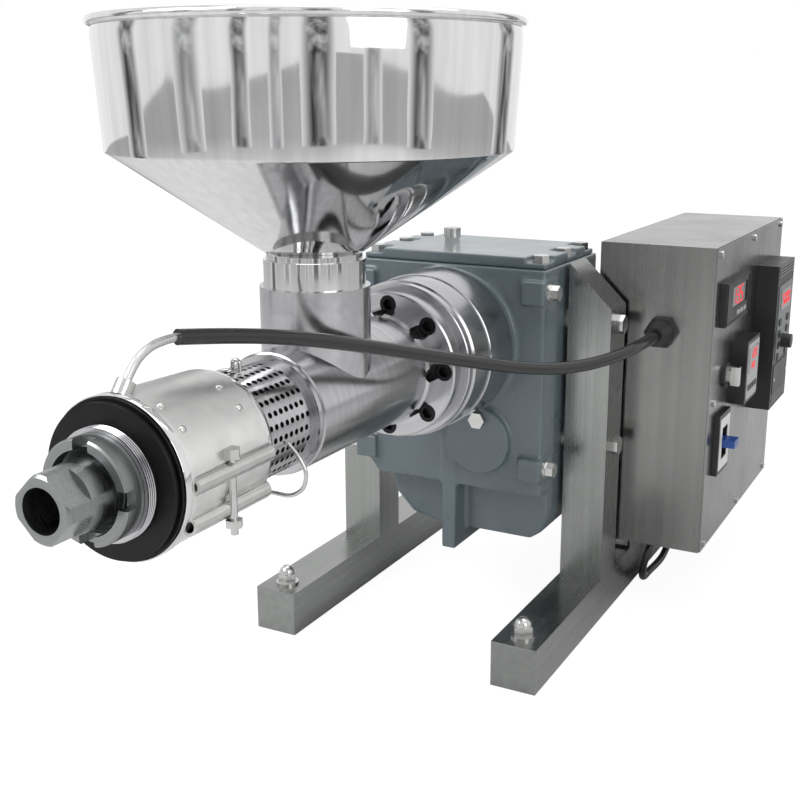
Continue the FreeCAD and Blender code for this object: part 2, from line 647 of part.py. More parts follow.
def motor():
    """A finned motor hung on the back of the gearbox."""
    frame = new_body("motor_frame", MOTOR)
    pad_round(frame, "XZ_Plane", [("0", "0", "motor_radius")], "motor_front - gear_rear + 1", "-gear_rear", back=True)
    pad_round(frame, "XZ_Plane", [("0", "0", "motor_radius")], "motor_rear - motor_front", "-motor_front", back=True)
    fin = pad(frame, "XZ_Plane", rectangle("-1.4", "motor_radius - 1", "1.4", "fin_radius"),
              "motor_rear - motor_front - 16", "-motor_front - 8", back=True)
    polar(frame, fin, "Y_Axis", 32)
    cut_round(frame, "XZ_Plane", [("0", "0", "shaft_radius + 2")], "motor_rear", "-gear_rear + 1")
    cowl = new_body("fan_cowl", MOTOR)
    pad_round(cowl, "XZ_Plane", [("0", "0", "fin_radius + 3")], "cowl_rear - motor_rear + 6", "-motor_rear + 6", back=True)
    cut_round(cowl, "XZ_Plane", [("0", "0", "fin_radius + 1")], "cowl_rear - motor_rear + 4", "-motor_rear + 6.01")
    slot = new_sketch(cowl, "XZ_Plane", "-cowl_rear + 4")
    add_loop(slot, rectangle("-2.2", "24", "2.2", "70"))
    item = checked_cut(cowl, slot, "8", False)
    polar(cowl, item, "Y_Axis", 20)
    fan = new_body("motor_fan", MOTOR)
    pad_round(fan, "XZ_Plane", [("0", "0", "24")], "22", "-motor_rear - 10", back=True)
    blade = pad(fan, "XZ_Plane", rectangle("-1.5", "20", "1.5", "68"), "18", "-motor_rear - 12", back=True)
    polar(fan, blade, "Y_Axis", 8)
    cut_round(fan, "XZ_Plane", [("0", "0", "shaft_radius")], "30", "-motor_rear - 6")
    box = new_body("motor_terminal_box", MOTOR)
    pad(box, "XZ_Plane", rectangle("-36", "-fin_radius - 30", "36", "-fin_radius"), "72", "-170", back=True)


# ---------------------------------------------------------------- press head
def bearing_rings():
    """The two turned rings between the gearbox and the barrel."""
    thrust = new_body("thrust_housing", AXIS, AHEAD)
    turn_profile(thrust, [("boss_front", "40"), ("boss_front", "thrust_radius - 3"), ("boss_front + 3", "thrust_radius"),
                          ("thrust_front - 1", "thrust_radius"), ("thrust_front", "thrust_radius - 1"),
                          ("thrust_front", "62"), ("boss_front + 20", "62"), ("boss_front + 20", "40")])
    adapter = new_body("adapter_ring", AXIS, AHEAD)
    turn_profile(adapter, [("thrust_front", "38"), ("thrust_front", "adapter_radius"),
                           ("adapter_front - 11", "adapter_radius"), ("adapter_front - 9", "adapter_radius - 2"),
                           ("adapter_front - 1", "adapter_radius - 2"), ("adapter_front", "adapter_radius - 3"),
                           ("adapter_front", "bore_radius"), ("adapter_front - 12", "bore_radius"),
                           ("adapter_front - 12", "38")])


def feed_barrel():
    """Flange, hub, barrel and feed tube in one piece, with the throat down into the bore."""
    thing = new_body("feed_barrel", AXIS, AHEAD)
    turn_profile(thing, [("adapter_front", "bore_radius"), ("adapter_front", "flange_radius"),
                         ("flange_front - 1.5", "flange_radius"), ("flange_front", "flange_radius - 1.5"),
                         ("flange_front", "hub_radius"), ("hub_front - 2", "hub_radius"),
                         ("hub_front", "barrel_radius"), ("barrel_front", "barrel_radius"),
                         ("barrel_front", "bore_radius")])
    pad_round(thing, "XY_Plane", [("feed_ahead", "0", "feed_radius")], "feed_top")
    cut_round(thing, "XY_Plane", [("feed_ahead", "0", "feed_bore")], "feed_top - 54", "feed_top + 0.01")
    cut_round(thing, "XY_Plane", [("feed_ahead", "0", "throat_radius")], "60", "60")
    seat_cut = cut_round(thing, "YZ_Plane", [("0", "bolt_circle", "counterbore")], "hub_front - flange_front + 13",
                         "hub_front + 1")
    polar(thing, seat_cut, "X_Axis", 8)
    bolt_cut = cut_round(thing, "YZ_Plane", [("0", "bolt_circle", "stud_radius + 0.3")],
                         "hub_front - adapter_front + 1", "hub_front")
    polar(thing, bolt_cut, "X_Axis", 8)
    cut_round(thing, "YZ_Plane", [("0", "0", "bore_radius")], "barrel_front", "barrel_front")
    return thing


def flange_bolts():
    """Eight socket head screws sunk in the flange."""
    bolts = []
    for i in range(8):
        angle = math.radians(45 * i)
        x = "press_x + bolt_circle * %.6f" % math.sin(angle)
        z = "press_z + bolt_circle * %.6f" % math.cos(angle)
        y = "post_y - flange_front + 12"
        head = rod(x, y, z, "8.8", "12", FRONT)
        socket = hex_bar(x, "%s - 12.01" % y, z, "10", "6", BACK)
        shank = rod(x, y, z, "stud_radius", "11", BACK)
        bolts.append(head.fuse(shank).cut(socket))
    group("flange_bolts", bolts)


def barrel_end():
    """The turned end of the barrel with its probe hole and joint ring."""
    thing = new_body("barrel_end_ring", AXIS, AHEAD)
    turn_profile(thing, [("barrel_front", "bore_radius"), ("barrel_front", "barrel_radius"),
                         ("barrel_front + 22", "barrel_radius"), ("barrel_front + 23", "barrel_radius - 1.5"),
                         ("joint_front", "barrel_radius - 1.5"), ("joint_front", "bore_radius")])
    hole = new_sketch(thing, "XZ_Plane", "30")
    add_circle(hole, "barrel_front + 10", "24", "3.4")
    doc.recompute()
    item = feature(thing, "Pocket", hole, "40", True)
    item.Length2 = 1
    return thing


def oil_cage():
    """The drilled cage where the oil runs out, its rows of holes set half a pitch apart."""
    thing = new_body("oil_cage", AXIS, AHEAD)
    turn_profile(thing, [("joint_front", "cage_inner"), ("joint_front", "cage_radius"), ("cage_front", "cage_radius"),
                         ("cage_front", "cage_inner")])
    for spin, count, lead in ((0, 8, "9"), (180 / 14, 7, "12.8")):
        sketch = new_sketch(thing, "XY_Plane")
        sketch.AttachmentOffset = Placement(Vector(0, 0, 0), Rotation(Vector(1, 0, 0), spin))
        for i in range(count):
            add_circle(sketch, "joint_front + %s + %d * hole_pitch" % (lead, i), "0", "hole_radius")
        item = checked_cut(thing, sketch, "cage_radius + 2", True)
        polar(thing, item, "X_Axis", 14)
    return thing


def press_head():
    """The heated end of the barrel, drawn in to a threaded snout."""
    thing = new_body("press_head", AXIS, AHEAD)
    turn_profile(thing, [("cage_front", "bore_radius"), ("cage_front", "cage_radius + 3"), ("band_rear - 6", "cage_radius + 3"),
                         ("band_rear - 6", "head_radius"), ("head_front", "head_radius"), ("head_front", "snout_radius"),
                         ("snout_front", "snout_radius"), ("snout_front", "37"), ("head_front + 2", "37"),
                         ("head_front + 2", "bore_radius")])
    return thing


def heater():
    """The heater band, its rolled clamp lugs and clamp bolt, and its terminal."""
    band = new_body("heater_band", AXIS, AHEAD)
    turn_profile(band, [("band_rear", "head_radius"), ("band_rear", "band_rear_radius"),
                        ("band_front - 4", "band_front_radius - 1"), ("band_front - 3", "band_front_radius"),
                        ("band_front", "band_front_radius"), ("band_front", "head_radius")])
    lugs = []
    for across, drop in (("60", "1"), ("55", "-30")):
        x, z = "press_x + %s" % across, "press_z + %s" % drop
        start = "post_y - band_front + 3"
        tube = rod(x, start, z, "7.5", "band_front - band_rear - 6", BACK)
        lugs.append((tube, rod(x, "%s - 1" % start, z, "5", "band_front - band_rear", BACK)))
    doc.recompute()
    outside = band.Shape.fuse([doc.getObject(name).Shape for name in ("press_head", "head_ring")])
    group("clamp_lugs", [tube.cut(bore).cut(outside) for tube, bore in lugs])
    x, y = "press_x + 62", "post_y - 545"
    bolt = rod(x, y, "press_z - 50", "3", "62", UP)
    head = hex_bar(x, y, "press_z + 10", "12", "8", UP)
    nut = hex_bar(x, y, "press_z - 44", "12", "6", UP)
    bolt = bolt.fuse([head, nut])
    for tube, bore in lugs:
        bolt = bolt.cut(tube.cut(bore))
    group("clamp_bolt", [bolt.cut(outside)])
    end = braid_end()
    stub = Part.makeCylinder(7.5, 12, end[0], end[1])
    group("heater_terminal", [stub.cut(outside)])


def head_ring():
    """The black two-step ring that closes the heater end."""
    thing = new_body("head_ring", AXIS, AHEAD)
    turn_profile(thing, [("head_front", "snout_radius"), ("head_front", "ring_radius"), ("head_front + 6.5", "ring_radius"),
                         ("head_front + 6.5", "ring_radius - 2.4"), ("ring_front", "ring_radius - 2.4"),
                         ("ring_front", "snout_radius")])
    return thing


def lock_nut():
    """The castellated nut that locks the nozzle."""
    thing = new_body("lock_nut", AXIS, AHEAD)
    turn_profile(thing, [("head_front + 4", "26.3"), ("head_front + 4", "36.7"), ("snout_front + 0.3", "36.7"),
                         ("snout_front + 0.3", "lock_radius"), ("lock_front - 1.5", "lock_radius"),
                         ("lock_front", "lock_radius - 1.5"), ("lock_front", "lock_bore"),
                         ("lock_front - 10", "lock_bore"), ("lock_front - 16", "26.3")])
    item = cut(thing, "YZ_Plane", rectangle("-lock_slot / 2", "20", "lock_slot / 2", "lock_radius + 5"),
               "lock_slot_deep", "lock_front + 0.01")
    polar(thing, item, "X_Axis", 4)
    return thing


def nozzle():
    """The outlet nozzle with four wrench flats."""
    thing = new_body("nozzle", AXIS, AHEAD)
    turn_profile(thing, [("head_front + 6", "21"), ("head_front + 6", "26"), ("lock_front - 14", "26"),
                         ("lock_front - 13", "nozzle_radius"), ("nozzle_front - 2", "nozzle_radius"),
                         ("nozzle_front", "nozzle_radius - 2"), ("nozzle_front", "nozzle_bore"),
                         ("lock_front", "nozzle_bore"), ("head_front + 8", "21")])
    sketch = new_sketch(thing, "YZ_Plane", "nozzle_front + 1", spin=45)
    add_loop(sketch, rectangle("nozzle_flats / 2", "-30", "40", "30"))
    item = checked_cut(thing, sketch, "23", False)
    polar(thing, item, "X_Axis", 4)
    return thing


def press_screw():
    """The press screw: a root that thickens towards the head and one wound flight."""
    start, end = number("adapter_front + 4"), number("head_front - 6")
    length = end - start
    root = Part.makeCone(number("root_rear"), number("root_front"), length, Vector(start, 0, 0), Vector(1, 0, 0))
    shank = Part.makeCylinder(number("shank_radius"), start, Vector(0, 0, 0), Vector(1, 0, 0))
    tip = Part.makeCone(number("root_front"), 12, 24, Vector(end, 0, 0), Vector(1, 0, 0))
    inner, outer = number("root_rear") - 1.5, number("screw_radius")
    pitch = number("flight_pitch")
    path = Part.Wire(Part.makeHelix(pitch, length - 8, inner + 4))
    profile = Part.makePolygon([Vector(inner, 0, 0.5), Vector(outer, 0, 1.4), Vector(outer, 0, 4.6),
                                Vector(inner, 0, 7), Vector(inner, 0, 0.5)])
    flight = path.makePipeShell([Part.Wire(profile.Edges)], True, True)
    flight.Placement = Placement(Vector(start, 0, 0), Rotation(Vector(0, 1, 0), 90))
    thing = doc.addObject("Part::Feature", "press_screw")
    thing.Label = "press_screw"
    thing.Shape = root.fuse([flight, tip]).fuse(shank)
    thing.Placement = Placement(spot(*AXIS), AHEAD)
    return thing


# ---------------------------------------------------------------- hopper
def hopper():
    """The bowl: cone, wall and rolled rim in one spun shell; and its turned collar."""
    base = ("press_x", "post_y - feed_ahead", "0")
    upright_turn = Rotation(Vector(0, 1, 0), -90)      # local +X points up
    bowl = new_body("hopper_bowl", base, upright_turn)
    turn_profile(bowl, [("collar_top", "neck_radius - sheet_thick"), ("collar_top", "neck_radius"),
                        ("collar_top + 5", "neck_radius"), ("knee_height", "knee_radius"),
                        ("rim_height - 2 * bead_radius", "rim_radius"), ("rim_height - 2 * bead_radius", "rim_radius + 3"),
                        ("rim_height", "rim_radius + 3"), ("rim_height", "rim_radius - sheet_thick"),
                        ("knee_height + 1", "knee_radius - sheet_thick"),
                        ("collar_top + 7", "neck_radius - sheet_thick")])
    collar = new_body("hopper_collar", base, upright_turn)
    turn_profile(collar, [("press_z + feed_top - 28", "37"), ("press_z + feed_top - 28", "feed_bore - 0.3"),
                          ("collar_base", "feed_bore - 0.3"), ("collar_base", "collar_radius"),
                          ("collar_top", "collar_radius"), ("collar_top", "37")])


# ---------------------------------------------------------------- control box
def control_box():
    """The sheet box, open to the right, and its screwed cover panel."""
    box = new_body("control_box", GROUND)
    pad(box, "YZ_Plane", rectangle("box_front", "box_bottom", "box_rear", "box_top"), "box_right - box_left - box_wall",
        "box_left")
    cut(box, "YZ_Plane", rectangle("box_front + box_wall", "box_bottom + box_wall", "box_rear - box_wall",
                                   "box_top - box_wall"), "box_right - box_left - 2 * box_wall",
        "box_left + box_wall", back=True)
    cut_round(box, "XZ_Plane", [("gland_x", "gland_z", "12.6")], "4", "-box_front + 1")
    panel = new_body("control_panel", GROUND)
    pad(panel, "YZ_Plane", rectangle("box_front + 1", "box_bottom + 1", "box_rear - 1", "box_top - 1"), "box_wall",
        "box_right - box_wall")
    for name in ("meter", "timer", "breaker", "drive"):
        half, tall = "%s_long / 2 - 3" % name, "%s_tall / 2 - 3" % name
        cut(panel, "YZ_Plane", rectangle("%s_y - (%s)" % (name, half), "%s_z - (%s)" % (name, tall),
                                         "%s_y + %s" % (name, half), "%s_z + %s" % (name, tall)),
            "box_wall + 2", "box_right + 1")
    cut_round(panel, "YZ_Plane", [("selector_y", "selector_z", "11.1")], "box_wall + 2", "box_right + 1")
    screws = []
    for y, z in (("71", "427"), ("76", "257"), ("72", "89"), ("238", "427"), ("238", "89"),
                 ("398", "427"), ("398", "257"), ("398", "89")):
        screws.append(rod("press_x + box_right", "post_y + %s" % y, z, "4", "2.2", RIGHT))
    group("panel_screws", screws)


def instrument(label, name, proud, inset):
    """A housing seated in its window: a bezel outside and a body through the panel."""
    thing = new_body(label, GROUND)
    long, tall = "%s_long / 2" % name, "%s_tall / 2" % name
    centre = ("%s_y" % name, "%s_z" % name)
    pad(thing, "YZ_Plane", rectangle("%s - %s" % (centre[0], long), "%s - %s" % (centre[1], tall),
                                     "%s + %s" % (centre[0], long), "%s + %s" % (centre[1], tall)),
        proud, "box_right")
    pad(thing, "YZ_Plane", rectangle("%s - %s + 3.2" % (centre[0], long), "%s - %s + 3.2" % (centre[1], tall),
                                     "%s + %s - 3.2" % (centre[0], long), "%s + %s - 3.2" % (centre[1], tall)),
        inset, "box_right", back=True)
    return thing


def instruments():
    meter = instrument("panel_meter", "meter", "meter_proud", "40")
    cut(meter, "YZ_Plane", rectangle("meter_y - 26", "meter_z - 8", "meter_y + 46", "meter_z + 16"), "2",
        "box_right + meter_proud + 0.01")
    for i, across in enumerate((0, 16, 32), start=1):
        place = "meter_y + %d" % across
        cut(meter, "YZ_Plane", rectangle("%s - 5.3" % place, "meter_z - 17.8", "%s + 5.3" % place, "meter_z - 12.2"),
            "2", "box_right + meter_proud + 0.01")
        push = new_body("meter_key_%d" % i, ("press_x + box_right + meter_proud", "post_y + %s" % place, "meter_z"))
        pad(push, "YZ_Plane", rectangle("-5", "-17.5", "5", "-12.5"), "2.4", "-1")
    instrument("temperature_controller", "timer", "timer_proud", "40")
    breaker = instrument("breaker_body", "breaker", "6", "45")
    cut(breaker, "YZ_Plane", rectangle("breaker_y - 12", "breaker_z - 18", "breaker_y + 12", "breaker_z + 18"), "12",
        "box_right + 6.01")
    toggle = new_body("breaker_toggle", ("press_x + box_right", "post_y + breaker_y", "breaker_z"))
    pad(toggle, "XY_Plane", rectangle("-2", "-10.5", "21", "10.5"), "9", "-4.5")
    selector = new_body("selector_base", ("press_x", "post_y + selector_y", "selector_z"))
    pad_round(selector, "YZ_Plane", [("0", "0", "selector_radius")], "4", "box_right")
    pad_round(selector, "YZ_Plane", [("0", "0", "11")], "35", "box_right", back=True)
    knob = new_body("selector_knob", ("press_x", "post_y + selector_y", "selector_z"))
    pad_round(knob, "YZ_Plane", [("0", "0", "11.5")], "5", "box_right + 4.2")
    pad(knob, "YZ_Plane", rectangle("-4", "-11", "4", "11"), "9", "box_right + 9")
    instrument("drive_body", "drive", "drive_proud", "60")
    dial = new_body("speed_dial", ("press_x", "post_y + dial_y", "dial_z"))
    pad_round(dial, "YZ_Plane", [("0", "0", "dial_radius")], "dial_proud", "box_right + drive_proud + 0.2")


def box_supports():
    """Two channel brackets on the rail and the gland in the box front."""
    brackets = []
    for along in ("110", "310"):
        outer = Part.makeBox(34, 40, number("box_bottom - tube_side"),
                             spot("press_x + box_left", "post_y + %s" % along, "tube_side"))
        inner = Part.makeBox(28, 42, number("box_bottom - tube_side - 6"),
                             spot("press_x + box_left + 3", "post_y + %s - 1" % along, "tube_side + 3"))
        brackets.append(outer.cut(inner))
    group("box_brackets", brackets)
    x, y, z = "press_x + gland_x", "post_y + box_front", "gland_z"
    nut = hex_bar(x, y, z, "32", "10", FRONT)
    dome = Part.makeCone(15.5, 10, 18, spot(x, "%s - 10" % y, z), Vector(*FRONT))
    neck = rod(x, y, z, "12.4", "12", BACK)
    front = nut.fuse([dome, neck]).cut(rod(x, "%s - 28.1" % y, z, "6.6", "50", BACK))
    x, y, z = "press_x + lead_x", "post_y + lead_y", "box_bottom"
    block = Part.makeBox(20, 22, 20, spot("%s - 10" % x, y, "%s - 20" % z))
    spout = Part.makeCylinder(7.5, 12.5, spot(x, "%s - 12" % y, "%s - 11" % z), Vector(*BACK))
    bore = Part.makeCylinder(4.7, 24, spot(x, "%s - 12.1" % y, "%s - 11" % z), Vector(*BACK))
    group("cable_glands", [front, block.fuse(spout).cut(bore)])


# ---------------------------------------------------------------- cords and wire
# Route points: right of the press axis, behind the front of the uprights, above the ground.
HEATER_ROUTE = [(212.5, 29, 337.5), (211, -8, 336), (194, -53, 328), (168, -106, 325), (139, -166, 334),
                (112, -229, 351), (84, -296, 370), (58, -363, 389), (34, -428, 405), (14, -485, 415),
                (1, -526, 420)]
BRAID_ROUTE = [(1, -526, 420), (0.5, -544, 420.5), (0, -561, 417), (0, -575, 409.5), (0, -584, 398)]
LEAD_ROUTE = [(212, 188, 70.4), (211, 169, 70.4), (207, 149.5, 70.9), (200.5, 131, 70.4), (196, 113.8, 57.9),
              (191.5, 107.3, 37.8), (187.5, 113.8, 17.7), (184.5, 131, 5.6), (184, 155, 4.9), (186, 179, 5.2),
              (188, 203, 7.5), (188.5, 226, 17), (186, 246.5, 34), (176, 263, 54), (155.5, 272, 66.5),
              (131, 270, 77), (107, 254, 90), (92, 232, 106), (81, 211, 119)]


def bent_path(points):
    """Straight runs joined by tangent arcs as large as the runs allow, and the arcs' radii."""
    edges, start, radii = [], points[0], []
    for before, here, after in zip(points, points[1:], points[2:]):
        incoming, outgoing = here - before, after - here
        shorter = min(incoming.Length, outgoing.Length)
        half = incoming.getAngle(outgoing) / 2
        trim = 0.45 * shorter
        radii.append(trim / math.tan(half))
        into, out = Vector(incoming).normalize(), Vector(outgoing).normalize()
        first, last = here - into * trim, here + out * trim
        middle = here + (out - into).normalize() * (radii[-1] / math.cos(half) - radii[-1])
        edges.append(Part.LineSegment(start, first).toShape())
        edges.append(Part.Arc(first, middle, last).toShape())
        start = last
    edges.append(Part.LineSegment(start, points[-1]).toShape())
    return Part.Wire(edges), radii


def pipe(points, size):
    """A round solid of that radius along the bent path."""
    path, radii = bent_path(points)
    end_ring = Part.Wire(Part.Circle(points[0], points[1] - points[0], size).toShape())
    return path.makePipeShell([end_ring], True, False), path.Length, radii


def tube(label, route, radius):
    """A cord's node along its route from the point under the press axis."""
    origin = spot("press_x", "post_y", "0")
    size = number(radius)
    solid, length, radii = pipe([origin + Vector(*place) for place in route], size)
    share = solid.Volume / (math.pi * size ** 2 * length)
    print("%s: %.0f mm long, radii %s, volume share %.4f"
          % (label, length, [round(r) for r in radii], share))
    thing = doc.addObject("Part::Feature", label)
    thing.Label = label
    thing.Shape = solid
    return thing


def braid_end():
    """Where the braided sleeve meets the heater, and its direction there."""
    origin = spot("press_x", "post_y", "0")
    last, before = Vector(*BRAID_ROUTE[-1]), Vector(*BRAID_ROUTE[-2])
    return origin + last, (last - before).normalize()


def cords():
    tube("heater_cable", HEATER_ROUTE, "hose_radius")
    tube("cable_braid", BRAID_ROUTE, "braid_radius")
    tube("motor_lead", LEAD_ROUTE, "lead_radius")


def drip_loop():
    """A bent wire: an eye on top, round behind the cage, then a loop that hangs out for the oil."""
    size = number("wire_radius")
    reach = number("cage_radius") + size + 0.1
    eye_half, eye_top, step = 3.5, reach + 9, 20
    corners = [(eye_half, reach - 1.1), (eye_half, eye_top), (-eye_half, eye_top), (-eye_half, reach + 0.2)]
    corner_reach = reach / math.cos(math.radians(step / 2))
    for angle in range(110, 271, step):
        turned = math.radians(angle)
        corners.append((corner_reach * math.cos(turned), corner_reach * math.sin(turned)))
    corners += [(30, -51), (51, -51.5), (64, -43), (67, -28), (60, -16), (49.4, -6)]
    wire = pipe([Vector(x, 0, z) for x, z in corners], size)[0]
    thing = group("drip_loop", [wire])
    thing.Placement = Placement(spot("press_x", "post_y - 452", "press_z"), Rotation())
    return thing


# ---------------------------------------------------------------- checks and export
def check_document():
    for item in doc.Objects:
        bad = [word for word in item.State if word in ("Invalid", "Error")]
        if bad:
            raise RuntimeError("%s is %s" % (item.Label, bad))


def sub_parts():
    """The objects that become nodes: bodies and loose shapes."""
    nodes = [item for item in doc.Objects if item.TypeId == "PartDesign::Body"]
    nodes += [item for item in doc.Objects if item.TypeId == "Part::Feature"]
    return nodes


def write_parts():
    os.makedirs("parts", exist_ok=True)
    nodes = sub_parts()
    for item in nodes:
        shape = item.Shape
        if shape.isNull() or not shape.isValid():
            raise RuntimeError("%s has no valid shape" % item.Label)
    for item in nodes:
        item.Shape.exportStep("parts/%s.step" % item.Label)
    print("wrote", len(nodes), "sub-parts")


def main():
    stand()
    gearbox_housing()
    gearbox_cover()
    gear_train()
    bearings()
    gearbox_fittings()
    motor()
    bearing_rings()
    feed_barrel()
    flange_bolts()
    barrel_end()
    oil_cage()
    press_head()
    head_ring()
    lock_nut()
    nozzle()
    press_screw()
    hopper()
    control_box()
    instruments()
    box_supports()
    cords()
    drip_loop()
    heater()
    doc.recompute()
    check_document()
    write_parts()


main()
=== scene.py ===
"""The looks of a screw oil press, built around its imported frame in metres."""

import json
import logging
import math
from dataclasses import dataclass, field
from enum import Enum
from typing import Optional, Sequence

import bmesh
import bpy
from mathutils import Matrix, Vector

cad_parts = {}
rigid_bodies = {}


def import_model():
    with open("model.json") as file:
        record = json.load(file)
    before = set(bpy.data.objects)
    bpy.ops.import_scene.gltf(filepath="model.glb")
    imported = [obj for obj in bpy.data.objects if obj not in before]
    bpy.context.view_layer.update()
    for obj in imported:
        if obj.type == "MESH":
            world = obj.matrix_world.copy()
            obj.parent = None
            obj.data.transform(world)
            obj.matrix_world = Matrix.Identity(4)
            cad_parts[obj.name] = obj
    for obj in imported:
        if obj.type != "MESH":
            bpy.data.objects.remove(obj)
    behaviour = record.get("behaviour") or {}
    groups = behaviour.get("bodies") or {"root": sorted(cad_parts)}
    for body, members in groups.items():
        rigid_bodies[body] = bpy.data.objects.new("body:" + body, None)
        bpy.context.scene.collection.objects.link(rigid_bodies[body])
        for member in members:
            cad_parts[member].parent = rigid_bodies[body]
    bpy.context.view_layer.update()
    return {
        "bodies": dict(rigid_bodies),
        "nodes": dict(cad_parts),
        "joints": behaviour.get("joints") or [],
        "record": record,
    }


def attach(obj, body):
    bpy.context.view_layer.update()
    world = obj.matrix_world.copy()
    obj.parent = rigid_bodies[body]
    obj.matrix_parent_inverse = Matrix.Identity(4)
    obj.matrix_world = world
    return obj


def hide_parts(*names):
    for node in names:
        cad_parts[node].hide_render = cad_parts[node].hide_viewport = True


log = logging.getLogger("press")
Colour = tuple[float, float, float]
Point = tuple[float, float, float]
MM = 0.001
PRESS_X = -61.5 * MM
POST_Y = 132 * MM
PRESS_Z = 328 * MM
AXIS: Point = (PRESS_X, POST_Y, PRESS_Z)
PANEL_OUT = 270.4       # panel face, right of the press axis in millimetres
DIGIT_STROKE, DIGIT_PITCH, DIGIT_THICK = 0.18, 1.55, 0.25
DIGIT_SHAPES = {"0": "abcdef", "1": "bc", "2": "abged", "3": "abgcd", "5": "afgcd"}


# ---------------------------------------------------------------- materials
class Graph:
    """A material's nodes, made and joined with short calls."""

    def __init__(self, name: str) -> None:
        """Starts a material with one Principled shader."""
        self.material = bpy.data.materials.new(name)
        self.material.use_nodes = True
        self.tree = self.material.node_tree
        self.tree.nodes.clear()
        self.output = self.add("ShaderNodeOutputMaterial")
        self.shader = self.add("ShaderNodeBsdfPrincipled")
        self.join(self.shader.outputs[0], self.output.inputs["Surface"])

    def add(self, kind: str, **settings: object) -> bpy.types.Node:
        """Adds a node.

        Args:
            kind: the node's type name.
            settings: its properties.

        Returns:
            The new node.
        """
        node = self.tree.nodes.new(kind)
        for key, value in settings.items():
            setattr(node, key, value)
        return node

    def join(self, source: object, target: object) -> None:
        """Links a socket to an input, or sets the input to a plain value."""
        if isinstance(source, bpy.types.NodeSocket):
            self.tree.links.new(source, target)
        else:
            target.default_value = source

    def set(self, **values: object) -> None:
        """Sets or links the shader's inputs; an underscore in a key stands for a space."""
        for key, value in values.items():
            self.join(value, self.shader.inputs[key.replace("_", " ")])

    def math(self, operation: str, *values: object) -> bpy.types.NodeSocket:
        """Returns the result of a Math node on the values."""
        node = self.add("ShaderNodeMath", operation=operation)
        for value, socket in zip(values, node.inputs):
            self.join(value, socket)
        return node.outputs[0]

    def place(self) -> bpy.types.NodeSocket:
        """Returns the point in the object's own frame."""
        return self.add("ShaderNodeTexCoord").outputs["Object"]

    def stretched(self, scale: Point, vector: Optional[object] = None) -> bpy.types.NodeSocket:
        """Returns the point scaled by axis.

        Args:
            scale: the factors.
            vector: the point, or the object's own frame.
        """
        node = self.add("ShaderNodeVectorMath", operation="MULTIPLY")
        self.join(vector or self.place(), node.inputs[0])
        node.inputs[1].default_value = scale
        return node.outputs[0]

    def spun(self) -> bpy.types.NodeSocket:
        """Returns (radius, along, 0) about the press axis, so that marks run round it."""
        split = self.add("ShaderNodeSeparateXYZ")
        self.join(self.place(), split.inputs[0])
        across = self.math("SUBTRACT", split.outputs[0], PRESS_X)
        up = self.math("SUBTRACT", split.outputs[2], PRESS_Z)
        squares = self.math("ADD", self.math("POWER", across, 2.0), self.math("POWER", up, 2.0))
        join = self.add("ShaderNodeCombineXYZ")
        self.join(self.math("SQRT", squares), join.inputs[0])
        self.join(split.outputs[1], join.inputs[1])
        return join.outputs[0]

    def noise(
        self, scale: float, detail: float = 3.0, roughness: float = 0.5, vector: Optional[object] = None
    ) -> bpy.types.NodeSocket:
        """Returns a noise value from 0 to 1.

        Args:
            scale: cycles per metre.
            detail: octaves.
            roughness: how strong the fine octaves are.
            vector: where it is sampled, or the object's own frame.
        """
        node = self.add("ShaderNodeTexNoise")
        self.join(vector or self.place(), node.inputs["Vector"])
        node.inputs["Scale"].default_value = scale
        node.inputs["Detail"].default_value = detail
        node.inputs["Roughness"].default_value = roughness
        return node.outputs[0]

    def between(
        self, value: object, low: float, high: float, start: float = 0.0, end: float = 1.0
    ) -> bpy.types.NodeSocket:
        """Returns the value mapped from start..end to low..high, clamped."""
        node = self.add("ShaderNodeMapRange")
        for item, socket in zip((value, start, end, low, high), node.inputs):
            self.join(item, socket)
        return node.outputs[0]

    def blend(self, share: object, first: object, second: object) -> bpy.types.NodeSocket:
        """Returns a colour between two."""
        node = self.add("ShaderNodeMix", data_type="RGBA")
        self.join(share, node.inputs[0])
        for item, index in ((first, 6), (second, 7)):
            self.join(shade(item) if isinstance(item, tuple) else item, node.inputs[index])
        return node.outputs[2]

    def bump(self, height: object, depth: float, below: Optional[object] = None) -> bpy.types.NodeSocket:
        """Returns a normal raised by a height map.

        Args:
            height: the map, from 0 to 1.
            depth: the relief in metres.
            below: a normal to start from.
        """
        node = self.add("ShaderNodeBump")
        node.inputs["Strength"].default_value = 1.0
        node.inputs["Distance"].default_value = depth
        self.join(height, node.inputs["Height"])
        if below:
            self.join(below, node.inputs["Normal"])
        return node.outputs[0]


def shade(colour: Colour) -> tuple[float, float, float, float]:
    """Returns the colour with full alpha."""
    return (*colour, 1.0)


def scaled(colour: Colour, factor: float) -> Colour:
    """Returns the colour made darker or lighter."""
    return tuple(min(1.0, channel * factor) for channel in colour)


class Grain(Enum):
    """Which way the marks on a metal run."""

    ALONG_X = (2.0, 900.0, 900.0)
    ALONG_Y = (900.0, 2.0, 900.0)
    ALONG_Z = (900.0, 900.0, 2.0)
    EVEN = (420.0, 420.0, 420.0)
    TURNED = (0.0, 0.0, 0.0)


